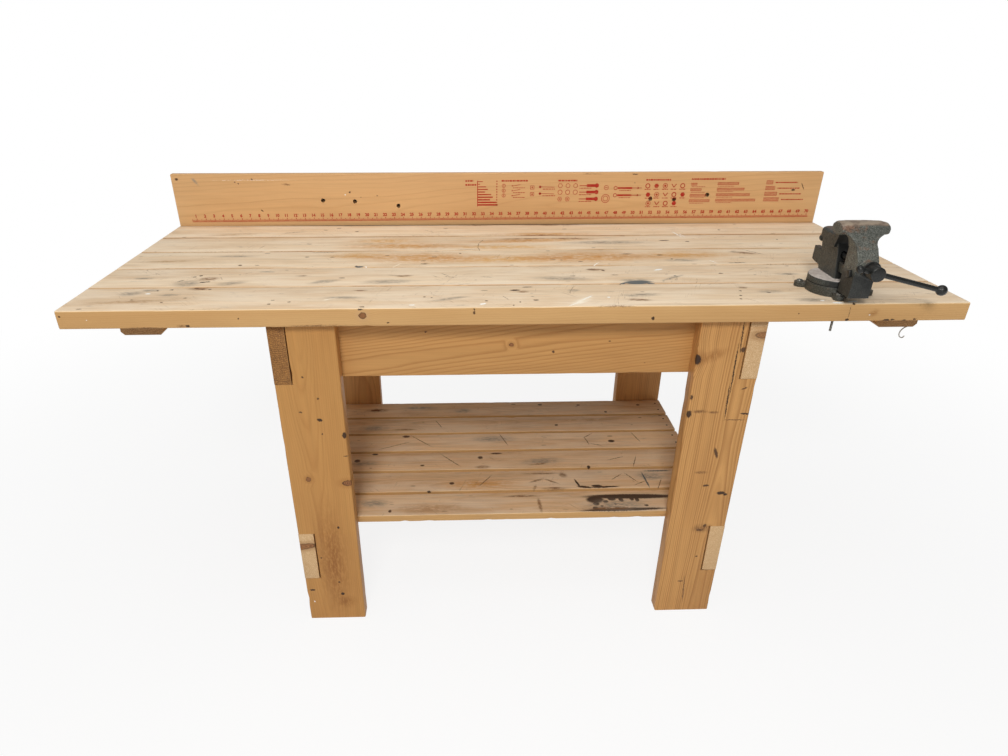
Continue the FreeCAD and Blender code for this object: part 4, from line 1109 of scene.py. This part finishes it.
def build_shelf():
    for index in range(6):
        node = "shelf_board_%d" % (index + 1)
        low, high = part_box(node)
        pith = ((-1) ** index * 0.02, -0.05 - 0.012 * index, 0.012, 0.02 - 0.007 * index, 0.0032)
        marks = marks_on(SHELF_MARKS, low, high, upright=False)
        seed = 60.0 + index * 2.3
        centre = centre_of(low, high)
        look = lumber(node + "_wood", "shelf", 0, centre, pith, seed, (), marks, worn=0.75, aged=0.25)
        mesh = timber(node + "_plank", low, high, 0, 2.0 * MM, seed, pitch=0.012, chips=1.3)
        add_piece(node + "_plank", mesh, "bench", look, [node])


def build_legs():
    lower_low, lower_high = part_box("lower_end_rail_left")
    upper_low, upper_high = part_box("top_end_rail_left")
    specs = (
        ("leg_front_left", "leg_smooth", (-0.01, -0.06, 0.0, 0.035, 0.0040), 31.0),
        ("leg_front_right", "leg_striped", (0.034, 0.010, 0.012, 0.02, 0.0043), 32.7),
        ("leg_back_left", "leg_back", (0.02, 0.06, 0.01, 0.03, 0.0036), 35.1),
        ("leg_back_right", "leg_back", (-0.03, -0.07, 0.02, -0.02, 0.0041), 37.9),
    )
    for node, style, pith, seed in specs:
        low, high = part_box(node)
        outer = 0 if "left" in node else 1
        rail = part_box("top_end_rail_" + node.split("_")[2])
        limit = rail[1 - outer][0]
        notches = [
            (lower_low[2], lower_high[2], outer, limit), (upper_low[2], upper_high[2] + 0.01, outer, limit),
        ]
        knots, marks = [], []
        if node == "leg_front_left":
            marks = marks_on(LEFT_LEG_MARKS, low, high, upright=True)
            knots = [
                knot_on(low, 17.30, -16.49, 0.24, 0.24, 20, 0.9),
                knot_on(low, 20.85, -16.98, 0.55, 0.30, 0, 1.0),
            ]
        if node == "leg_front_right":
            marks = marks_on(RIGHT_LEG_MARKS, low, high, upright=True)
            knots = [knot_on(low, 50.7, -5.1, 0.6, 0.45, 0, 0.75)]
        look = lumber(node + "_wood", style, 2, centre_of(low, high), pith, seed, knots, marks)
        mesh = timber(node + "_post", low, high, 2, 3.0 * MM, seed, notches=notches)
        add_piece(node + "_post", mesh, "bench", look, [node])


def build_rails():
    specs = (
        ("top_end_rail_left", 1, "rail", (0.004, 0.06, 0.0, 0.0, 0.0045), BROWN_END),
        ("top_end_rail_right", 1, "rail", (0.01, -0.05, 0.0, 0.0, 0.0040), PALE_END),
        ("lower_end_rail_left", 1, "rail", (-0.02, -0.03, 0.01, 0.02, 0.0042), PALE_END),
        ("lower_end_rail_right", 1, "rail", (-0.01, 0.05, 0.01, 0.01, 0.0038), PALE_END),
        ("front_apron", 0, "apron", (-0.052, 0.0, 0.015, 0.13, 0.0060), COMMON_END),
        ("back_apron", 0, "apron", (0.06, -0.02, 0.01, 0.05, 0.0050), COMMON_END),
        ("cleat_left", 1, "rail", (0.01, 0.05, 0.0, 0.01, 0.0040), COMMON_END),
        ("cleat_right", 1, "rail", (0.0, -0.04, 0.0, 0.015, 0.0040), COMMON_END),
    )
    open_joint = 2.2 * MM        # dark line on the inner side of a rail's end
    for count, (node, axis, style, pith, ends) in enumerate(specs):
        low, high = [list(corner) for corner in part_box(node)]
        centre = centre_of(low, high)
        seed = 80.0 + count * 2.9
        knots, marks = [], []
        if node == "front_apron":
            knots = [knot_on(low, 35.48, -4.23, 0.20, 0.16, 0, 1.0)]
            marks = marks_on(APRON_MARKS, low, high, upright=True)
        if node == "lower_end_rail_left":
            knots = [knot_on(low, 15.9, -24.2, 1.3, 0.34, 8, 0.85)]
        if node == "top_end_rail_right":
            knots = [knot_on(low, 56.3, -3.0, 0.8, 0.3, 0, 0.7)]
        look = lumber(node + "_wood", style, axis, centre, pith, seed, knots, marks, ends=ends)
        if node.startswith("cleat"):
            mesh = softened(node, node + "_timber", 1.2 * MM)
        else:
            if node.endswith("left"):
                high[0] -= open_joint
            if node.endswith("right"):
                low[0] += open_joint
            mesh = timber(node + "_timber", low, high, axis, 2.0 * MM, seed, end_bevel=0.6 * MM)
        add_piece(node + "_timber", mesh, "bench", look, [node])


# bench inches along the board, then millimetres above the top
PEG_HOLES = ((16.2, 68.1), (19.7, 65.3), (24.5, 52.6), (52.8, 68.8), (55.5, 66.8), (59.2, 79.0))
PEG_RADIUS = 5.2 * MM
PEG_DEPTH = 16.0 * MM


def build_backboard():
    low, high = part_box("backboard")
    centre = centre_of(low, high)
    pith = (-0.075, -0.012, 0.02, 0.03, 0.0085)
    marks = marks_on(BACKBOARD_MARKS, low, high, upright=True)
    bore_shade = (PEG_RADIUS * 1.1, PEG_DEPTH * 1.5, PEG_RADIUS * 1.1)
    for inch, rise in PEG_HOLES:      # painted shade inside the bores
        spot = (LEFT + inch * INCH, low[1], TOP + rise * MM)
        marks.append(("hole", spot, bore_shade, (0.0, 0.0, 0.0), 0.97))
    plain = lumber("backboard_wood", "backboard", 0, centre, pith, 5.0, (), marks)
    panel = timber("backboard_panel", low, high, 0, 1.5 * MM, 5.0, drift=0.0, chips=0.5)
    cutters = []
    run_in = 0.01
    drill = [(0.0, PEG_RADIUS), (run_in + PEG_DEPTH, PEG_RADIUS)]
    for inch, rise in PEG_HOLES:
        start = (LEFT + inch * INCH, low[1] - run_in, TOP + rise * MM)
        cutters.append(turned("drill", drill, start, (0, 1, 0), 24))
    add_piece("backboard_panel", carved(panel, cutters), "bench", plain, ["backboard"])
    red = srgb(178, 44, 28)
    inked = lumber("backboard_ink", "backboard", 0, centre, pith, 5.0, (), marks, ink=red)
    add_piece("backboard_rule", rule_mesh(low[1]), "bench", inked)
    add_piece("backboard_charts", chart_mesh(low[1]), "bench", inked)


# ---------------------------------------------------------------- red printing on the backboard
class Print:
    """Flat shapes just proud of the backboard's face, in bench inches (x, z)."""

    def __init__(self, face):
        self.work = bmesh.new()
        self.level = face - 0.12 * MM
        self.rise = 0.0

    def corner(self, x, z):
        point = bench(x, 0.0, z + self.rise * (x - 30.0))
        return self.work.verts.new((point.x, self.level, point.z))

    def shape(self, points):
        self.work.faces.new([self.corner(x, z) for x, z in points])

    def bar(self, x0, z0, x1, z1):
        self.shape([(x0, z0), (x1, z0), (x1, z1), (x0, z1)])

    def stroke(self, x0, z0, x1, z1, width):
        along = Vector((x1 - x0, z1 - z0)).normalized() * width / 2.0
        a, b = -along.y, along.x
        self.shape([(x0 + a, z0 + b), (x0 - a, z0 - b), (x1 - a, z1 - b), (x1 + a, z1 + b)])

    def circle(self, x, z, radius, sides, turn):
        angles = [turn + 2.0 * math.pi * step / sides for step in range(sides)]
        return [(x + radius * math.cos(angle), z + radius * math.sin(angle)) for angle in angles]

    def disc(self, x, z, radius, sides, turn=0.0):
        self.shape(self.circle(x, z, radius, sides, turn))

    def ring(self, x, z, outer, inner, sides, turn=0.0):
        rims = []
        for radius in (outer, inner):
            rims.append([self.corner(*point) for point in self.circle(x, z, radius, sides, turn)])
        for step in range(sides):
            after = (step + 1) % sides
            self.work.faces.new((rims[0][step], rims[0][after], rims[1][after], rims[1][step]))

    def frame(self, x0, z0, x1, z1, width):
        self.bar(x0, z0, x1, z0 + width)
        self.bar(x0, z1 - width, x1, z1)
        self.bar(x0, z0 + width, x0 + width, z1 - width)
        self.bar(x1 - width, z0 + width, x1, z1 - width)

    def hatched(self, x0, z0, x1, z1, pitch=0.075, width=0.03):
        self.frame(x0, z0, x1, z1, 0.03)
        x = x0 + pitch
        while x < x1 - pitch / 2.0:
            self.bar(x, z0 + 0.03, x + width, z1 - 0.03)
            x += pitch

    def dashes(self, x, z, length, tall, rng):
        # a row of plain dashes, in place of a caption
        end = x + length
        while x < end:
            run = min(rng.uniform(0.10, 0.30), end - x)
            self.bar(x, z, x + run, z + tall)
            x += run + 0.06

    def numeral(self, text, x, z, size):
        curve = bpy.data.curves.new("numeral", "FONT")
        curve.body = text
        curve.size = size
        curve.align_x = "CENTER"
        curve.resolution_u = 3
        curve.offset = size * 0.045
        mesh = evaluated(curve)
        points = [self.corner(x + vertex.co.x, z + vertex.co.y) for vertex in mesh.vertices]
        for polygon in mesh.polygons:
            self.work.faces.new([points[index] for index in polygon.vertices])
        bpy.data.meshes.remove(mesh)

    def finish(self, name):
        # the ink's film, closed on every side
        def thicken(holder):
            film = holder.modifiers.new("film", "SOLIDIFY")
            film.thickness = 0.2 * MM
            film.offset = 0.0

        return evaluated(mesh_from(self.work, name), thicken)


def rule_mesh(face):
    sheet = Print(face)
    sheet.rise = 0.003        # the stencil was laid a little askew
    base = 0.50
    sheet.bar(1.48, base - 0.02, 71.25, base + 0.015)
    for eighth in range(4, 562):
        x = 1.0 + eighth / 8.0
        tall = 0.38 if eighth % 8 == 0 else 0.28 if eighth % 4 == 0 else 0.21
        sheet.bar(x - 0.03, base + 0.01, x + 0.03, base + tall)
    for inch in range(1, 71):
        sheet.numeral(str(inch), 1.0 + inch - 0.06, base + 0.49, 0.45)
    return sheet.finish("backboard_rule")


def chart_mesh(face):
    rng = random.Random(11)
    sheet = Print(face)
    tall = 0.17
    # stepped bars
    sheet.dashes(32.0, 4.62, 0.9, tall, rng)
    sheet.dashes(32.0, 4.20, 1.2, tall, rng)
    sheet.bar(33.30, 1.95, 33.38, 4.74)
    for row in range(10):
        z = 4.60 - row * 0.285
        reach = 0.55 + 0.185 * row - 0.5 * (row % 3 == 1)
        sheet.bar(33.38, z, 33.38 + reach, z + 0.07 + 0.011 * row)
        sheet.bar(35.42, z, 35.55, z + 0.12)
    # small round and square figures with dashes
    sheet.dashes(36.0, 4.62, 2.9, tall, rng)
    for z in (4.18, 3.66, 3.14):
        sheet.ring(36.25, z, 0.21, 0.16, 14)
        sheet.bar(36.22, z - 0.12, 36.28, z + 0.12)
        sheet.stroke(37.2, z - 0.05, 38.1, z + 0.12, 0.05)
        sheet.disc(37.2, z - 0.02, 0.11, 3)
        sheet.dashes(37.3, z - 0.26, 1.3, 0.07, rng)
    for z in (3.98, 3.26):
        sheet.frame(39.2, z - 0.2, 39.65, z + 0.2, 0.05)
        sheet.disc(39.43, z, 0.09, 8)
        sheet.stroke(40.2, z + 0.08, 41.9, z + 0.02, 0.05)
        sheet.disc(40.3, z + 0.06, 0.15, 6)
        sheet.dashes(40.6, z - 0.22, 1.4, 0.08, rng)
    # long bars with round ends, and rings
    sheet.dashes(42.3, 4.62, 2.1, tall, rng)
    for row, z in enumerate((4.16, 3.46, 2.72)):
        for column in range(3 - row // 2):
            x = 42.55 + column * 0.85
            sheet.ring(x, z, 0.27, 0.21, 6 if row != 1 else 12, 0.3 * column)
            if row == 2:
                sheet.bar(x - 0.1, z - 0.06, x + 0.1, z + 0.06)
        sheet.bar(44.7, z - 0.04, 45.5, z + 0.04)
        sheet.bar(45.5, z - 0.15, 46.4, z + 0.15)
        sheet.disc(46.62, z, 0.26, 6, 0.5)
        sheet.dashes(44.7, z - 0.32, 1.4, 0.08, rng)
    sheet.ring(47.7, 3.93, 0.26, 0.21, 18)
    sheet.bar(47.56, 3.90, 47.84, 3.96)
    sheet.ring(47.7, 2.75, 0.48, 0.42, 22)
    sheet.ring(47.7, 2.75, 0.30, 0.24, 18)
    # two slender pins
    for z in (3.88, 3.10):
        sheet.ring(48.75, z, 0.22, 0.15, 10)
        sheet.bar(49.0, z - 0.10, 50.6, z + 0.10)
        sheet.stroke(50.6, z, 51.7, z, 0.07)
        sheet.disc(51.3, z, 0.16, 3)
        sheet.dashes(49.2, z - 0.30, 1.3, 0.07, rng)
    # grid of small round figures
    sheet.dashes(52.1, 4.66, 2.8, tall, rng)
    for row in range(3):
        for column in range(5 if row < 2 else 4):
            x = 52.35 + column * 0.98 + 0.12 * row
            z = 4.10 - row * 0.95
            figure = (row * 5 + column) % 4
            if figure == 0:
                sheet.ring(x, z, 0.28, 0.18, 14)
            elif figure == 1:
                sheet.disc(x, z, 0.27, 6)
            elif figure == 2:
                sheet.ring(x, z, 0.28, 0.22, 16)
                sheet.disc(x, z, 0.13, 6)
            else:
                sheet.stroke(x - 0.26, z + 0.2, x, z - 0.16, 0.09)
                sheet.stroke(x + 0.26, z + 0.2, x, z - 0.16, 0.09)
            sheet.dashes(x - 0.32, z - 0.42, 0.66, 0.09, rng)
    # hatched lengths in two columns, and a third with captions beside
    sheet.dashes(57.2, 4.72, 3.8, tall, rng)
    for row in range(4):
        z = 4.12 - row * 0.60
        sheet.hatched(57.2, z, 57.9 + 0.55 * row, z + 0.28)
        sheet.dashes(57.3, z - 0.16, 1.6, 0.05, rng)
        sheet.hatched(60.2, z + 0.05, 62.6 + 0.72 * row, z + 0.33)
        sheet.dashes(60.3, z - 0.11, 1.8, 0.05, rng)
        low = 4.22 - row * 0.62
        wide = 0.75 + 0.33 * row
        sheet.hatched(65.7, low, 65.7 + wide, low + 0.42)
        sheet.dashes(66.0 + wide, low + 0.12, 2.5, 0.13, rng)
    return sheet.finish("backboard_charts")


# ---------------------------------------------------------------- fasteners and hook
def cross_head(place, outward, radius):
    # round screw head with a cross recess
    outline = [(0.0, radius * 0.8), (1.3 * MM, radius), (1.55 * MM, radius - 0.6 * MM)]
    head = turned("head", outline, place - outward * 1.2 * MM, outward, 24)
    side = outward.orthogonal().normalized()
    other = outward.cross(side)
    cuts = []
    for long, wide in ((side, other), (other, side)):
        middle = place + outward * 0.5 * MM
        cuts.append(slab("slot", middle, long * 2.4 * MM, wide * 0.5 * MM, outward * 1.0 * MM))
    return carved(head, cuts)


def build_fasteners():
    steel = machined("screw_steel", srgb(112, 104, 92), srgb(176, 168, 152), 0.42, rust=0.5)
    dark = machined("nail_steel", srgb(52, 42, 34), srgb(96, 78, 62), 0.6, rust=0.7)
    for node in ("cleat_screws", "apron_screws", "end_rail_screws", "backboard_screws"):
        heads = [cross_head(place, outward, 4.7 * MM) for place, outward in fastener_spots(node)]
        add_piece(node + "_heads", joined(node + "_heads", heads), "bench", steel, [node])
    nail = [(0.0, 3.2 * MM), (0.9 * MM, 3.3 * MM), (1.25 * MM, 2.9 * MM), (1.35 * MM, 1.2 * MM)]
    heads = []
    for place, outward in fastener_spots("shelf_nails"):
        heads.append(turned("head", nail, place - outward * 1.15 * MM, outward, 16))
    nails = joined("shelf_nail_heads", heads)
    add_piece("shelf_nail_heads", nails, "bench", dark, ["shelf_nails"])


def build_hook():
    low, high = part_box("wire_hook")
    wire_radius = 1.2 * MM
    y = (low[1] + high[1]) / 2.0
    x = high[0] + 3.0 * MM
    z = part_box("cleat_right")[0][2]
    route = (
        (0.0, 16.0), (0.0, 2.0), (-1.0, -3.6), (-9.6, -7.4), (-15.0, -16.0), (-14.6, -25.0),
        (-8.6, -30.4), (-3.0, -29.0), (-1.6, -25.4),
    )
    curve = bpy.data.curves.new("hook", "CURVE")
    curve.dimensions = "3D"
    spline = curve.splines.new("NURBS")
    spline.points.add(len(route) - 1)
    for point, (dx, dz) in zip(spline.points, route):
        point.co = (x + dx * MM, y, z + dz * MM, 1.0)
    spline.order_u = 3
    spline.use_endpoint_u = True
    curve.resolution_u = 8
    curve.bevel_depth = wire_radius
    curve.bevel_resolution = 3
    curve.use_fill_caps = True
    wire = machined("hook_wire", srgb(140, 134, 126), srgb(216, 210, 200), 0.3, rust=0.15)
    add_piece("hook_bent_wire", evaluated(curve), "bench", wire, ["wire_hook"])


# ---------------------------------------------------------------- vise
U = Vector(JOINTS["jaw_slide"]["axis"]).normalized()
V = Vector((-U.y, U.x, 0.0))
FOOT = Vector(JOINTS["base_swivel"]["pos_m"])
FOOT.z = TOP
SCREW_AXIS = 79.2


def vise(u, v, w):
    # millimetres towards the handle, to the right and up from the bench top
    return FOOT + U * u * MM + V * v * MM + Vector((0, 0, w * MM))


def build_vise():
    rust_patch = (tuple(vise(88, -30, 150)), (0.03, 0.03, 0.016))
    # the painted shade on the jaw's low box is full below the first height and gone above the second
    box_shade_line = (TOP + 56.0 * MM, TOP + 76.0 * MM)
    disc_band = (TOP + 26.0 * MM, TOP + 36.0 * MM, srgb(214, 204, 196), srgb(190, 178, 168))
    head_band = (TOP + 146.0 * MM, TOP + 170.0 * MM, srgb(158, 142, 124), srgb(116, 98, 84))
    ring_line = TOP + 20.8 * MM
    iron = cast_paint(
        "jaw_iron", srgb(42, 45, 41), srgb(126, 128, 120), rust_up=0.6, rust_spot=rust_patch,
        shade_facing=-U, shade_below=box_shade_line, dusty=head_band,
    )
    body = cast_paint(
        "body_iron", srgb(34, 37, 36), srgb(80, 84, 80), rust_up=0.5, seed=1.3, shade_facing=U,
        dusty=disc_band, split=ring_line,
    )
    base = cast_paint("base_iron", srgb(34, 35, 31), srgb(92, 92, 84), rust_up=0.2, seed=3.0, split=ring_line)
    steel = machined("dark_steel", srgb(18, 19, 18), srgb(46, 47, 45), 0.30, rust=0.08, metallic=0.25)
    plate = machined("jaw_steel", srgb(88, 80, 70), srgb(146, 136, 124), 0.42, rust=0.5)

    up = Vector((0, 0, 1))
    # the flare's overhang in front of the neck
    slope = (U * -28.3 + up * 25.4).normalized()
    outward = (U * 25.4 + up * 28.3).normalized()
    overhang = vise(96.0, 0, 111.3) + slope * 12.5 * MM + outward * 20.4 * MM
    wedge = slab("wedge", overhang, slope * 22.0 * MM, V * 60.0 * MM, outward * 20.0 * MM)
    castings = (
        ("vise_base", base, (), ()), ("vise_body", body, (), deck_rise()),
        ("vise_moving_jaw", iron, (wedge,), (crowned_head(), neck_flare())),
    )
    # base and body part at the ring line, so that the one turns on the other without touching
    between = {"vise_base": (TOP, ring_line - 0.1 * MM), "vise_body": (ring_line, TOP + 1.0)}
    for seed, (node, finish, cutters, forms) in enumerate(castings):
        mesh = casting(node, node + "_casting", seed + 1.0, cutters, forms, between.get(node))
        add_piece(node + "_casting", mesh, BODY_OF[node], finish, [node])

    # the head's outline along u, and the middle of its cross bore
    head_start, head_middle = 124.7, 141.0
    outline = [
        (head_start, 17.1), (125.0, 17.8), (127.6, 17.8), (128.2, 17.2), (128.3, 14.2), (152.6, 14.2),
        (153.8, 13.6), (154.5, 12.2),
    ]
    outline = [((u - head_start) * MM, radius * MM) for u, radius in outline]
    head = turned("head", outline, vise(head_start, 0, SCREW_AXIS), U, 48)
    run = Vector(JOINTS["handle_slide"]["axis"]).normalized()
    middle = vise(head_middle, 0, SCREW_AXIS)
    bore = 5.06 * MM
    drill = turned("bore", [(0.0, bore), (0.08, bore)], middle - run * 0.04, run, 40)
    screw = joined("screw_and_head", [carved(head, [drill]), threaded()])
    add_piece("screw_and_head", screw, "screw", steel, ["vise_screw"])

    # millimetres from the bore's middle to the middle of each ball
    short_end, long_end = 31.5, 140.2
    reach = (short_end + long_end) * MM
    bar = [(0.0, 4.4 * MM), (0.6 * MM, 5.0 * MM), (reach - 0.6 * MM, 5.0 * MM), (reach, 4.4 * MM)]
    rod = turned("handle_rod", bar, middle - run * short_end * MM, run, 32)
    add_piece("handle_rod", rod, "handle", steel, ["vise_handle_bar"])
    balls = []
    for distance, radius, way in ((-short_end, 7.7, -1.0), (long_end, 10.3, 1.0)):
        outline = [(-radius - 0.1, 5.15), (-radius * 0.9, 5.9)]
        for step in range(3, 15):
            angle = math.pi * step / 15.0
            outline.append((-radius * math.cos(angle), radius * math.sin(angle)))
        outline.append((radius * 0.99, radius * 0.08))
        outline = [(u * MM, r * MM) for u, r in outline]
        balls.append(turned("ball", outline, middle + run * distance * MM, run * way, 32))
    knobs = joined("handle_knobs", balls)
    add_piece("handle_knobs", knobs, "handle", steel, ["vise_handle_balls"])

    eased = (
        ("vise_guide_bar", 0.8, base, "vise_paint"),
        ("guide_bar_set_screw", 0.7, steel, "vise_steel"),
        ("screw_retaining_ring", 0.5, steel, "vise_steel"),
        ("vise_long_bolt_nut", 0.3, steel, "fastener_steel"),
    )
    for node, width, finish, slot in eased:
        mesh = softened(node, node + "_eased", width * MM)
        add_piece(node + "_eased", mesh, BODY_OF[node], finish, [node])
    lug_heads(machined("lug_steel", srgb(58, 58, 54), srgb(146, 144, 136), 0.34, rust=0.2, metallic=0.5))
    for node in CAD:
        if node in ("vise_nut", "swivel_pivot_bolt") or node.startswith("jaw_plate"):
            CAD[node].data.materials.clear()
            CAD[node].data.materials.append(plate if node.startswith("jaw_plate") else steel)


def bar_head(name, middle, deep, tall, stations, crown):
    """A jaw's long oval head, squarer along its top, with a crown and rounded ends.

    stations: distance along the head, and the share of the full section that is left there.
    """
    longest = stations[-1][0]
    work = bmesh.new()
    rings = []
    for v, share in stations:
        ring = []
        for step in range(48):
            angle = 2.0 * math.pi * step / 48
            across, rise = math.cos(angle), math.sin(angle)
            power = 2.2 if rise < 0 else 3.6 if across < 0 else 2.8
            across = math.copysign(abs(across) ** (2.0 / power), across)
            rise = math.copysign(abs(rise) ** (2.0 / power), rise)
            lift = crown * (1.0 - (v / longest) ** 2) if rise > 0 else 0.0
            u, w = middle[0] + deep * share * across, middle[1] + (tall * share + lift) * rise
            ring.append(work.verts.new(vise(u, v, w)))
        rings.append(ring)
    skin(work, rings)
    return mesh_from(work, name)


def mirrored(half):
    # stations from one end to the other, from those of one half
    return [(-v, share) for v, share in reversed(half)] + list(half)


def crowned_head():
    half = [(8.0, 1.0), (24.0, 1.0), (41.0, 1.0), (44.6, 0.93), (46.6, 0.80), (47.4, 0.62)]
    return bar_head("crowned_head", (51.3, 142.7), 21.5, 12.0, mirrored(half), 1.6)


def deck_rise():
    # the rise at the back of the deck, and the cast stud below it
    work = bmesh.new()
    rings = []
    for w, inset in ((98.0, 0.0), (112.0, 0.0), (116.0, 1.4), (118.0, 4.0)):
        section = rounded_section(-78.0 + inset, 8.0 - inset, -17.3 + inset, 17.3 - inset, 13.0)
        rings.append([work.verts.new(vise(u, v, w)) for u, v in section])
    skin(work, rings)
    ball = [(-7.9, 1.2), (-6.6, 4.5), (-4.0, 6.9), (0.0, 8.0), (4.0, 6.9), (6.6, 4.5), (7.9, 1.2)]
    stud = turned("stud", [(u * MM, r * MM) for u, r in ball], vise(-77.5, -7.0, 92.0), -U, 24)
    return [mesh_from(work, "rise"), stud]


def neck_flare():
    # height, foremost reach and half width of the casting between the neck and the head
    levels = (
        (110.0, 96.6, 20.6), (114.0, 92.6, 20.9), (118.0, 88.6, 21.8), (122.0, 85.0, 23.2),
        (126.0, 81.8, 25.4), (129.5, 79.2, 28.6), (132.5, 77.0, 33.0), (136.0, 75.0, 39.0),
        (142.0, 73.4, 43.0), (148.0, 70.5, 43.0),
    )
    work = bmesh.new()
    rings = []
    for w, reach, wide in levels:
        section = rounded_section(54.0, reach, -wide, wide, 5.0)
        rings.append([work.verts.new(vise(u, v, w)) for u, v in section])
    skin(work, rings)
    return mesh_from(work, "neck_flare")


def threaded():
    # helical thread, then the plain shank that runs through the jaw
    start, end, pitch = -66.0, 54.0, 6.0
    root, depth, shank, shank_end = 6.0, 1.1, 7.1, 125.0
    sides, slices = 32, 8
    angles = [2.0 * math.pi * corner / sides for corner in range(sides)]
    stations = []
    count = int((end - start) / pitch * slices)
    for step in range(count + 1):
        u = start + (end - start) * step / count
        radii = []
        for corner in range(sides):
            phase = ((u - start) / pitch - corner / sides) % 1.0
            radii.append(root + depth * min(1.0, max(0.0, 1.6 - abs(phase - 0.5) * 4.4)))
        stations.append((u, radii))
    stations += [(end + 0.5, [shank] * sides), (shank_end, [shank] * sides)]
    work = bmesh.new()
    rings = []
    for u, radii in stations:
        ring = []
        for angle, radius in zip(angles, radii):
            place = vise(u, radius * math.cos(angle), SCREW_AXIS + radius * math.sin(angle))
            ring.append(work.verts.new(place))
        rings.append(ring)
    skin(work, rings)
    return mesh_from(work, "thread")


def lug_heads(steel):
    # slotted round heads on the base's lugs, and the threaded end of the long front bolt
    dome = [(-1.0, 3.0), (-0.9, 7.0), (1.2, 7.0), (2.4, 6.4), (3.4, 4.9), (4.0, 2.8), (4.2, 0.8)]
    dome = [(rise * MM, radius * MM) for rise, radius in dome]
    dome_high = 4.2 * MM
    up = Vector((0, 0, 1))
    slot_turn = Matrix.Rotation(math.radians(35.0), 3, "Z")
    for node in ("vise_mount_screws", "vise_long_bolt"):
        meshes = []
        for place, outward in fastener_spots(node):
            seat = place - up * dome_high
            long, wide = slot_turn @ Vector((0, 0.010, 0)), slot_turn @ Vector((0.0007, 0, 0))
            cutter = slab("slot", seat + up * (dome_high + 0.2 * MM), long, wide, up * 1.4 * MM)
            meshes.append(carved(turned("dome", dome, seat, up, 28), [cutter]))
            if node == "vise_long_bolt":
                foot = Vector((place.x, place.y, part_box(node)[0][2]))
                outline = [(0.0, 1.7 * MM), (0.8 * MM, 2.5 * MM)]
                for count in range(34):
                    outline += [((1.2 + count) * MM, 2.5 * MM), ((1.7 + count) * MM, 2.2 * MM)]
                outline += [(36.0 * MM, 2.5 * MM), (seat.z - foot.z, 2.5 * MM)]
                meshes.append(turned("shank", outline, foot, up, 20))
        add_piece(node + "_round", joined(node + "_round", meshes), "bench", steel, [node])


build_camera()
build_stage()
build_light()
build_top()
build_shelf()
build_legs()
build_rails()
build_backboard()
build_fasteners()
build_hook()
build_vise()
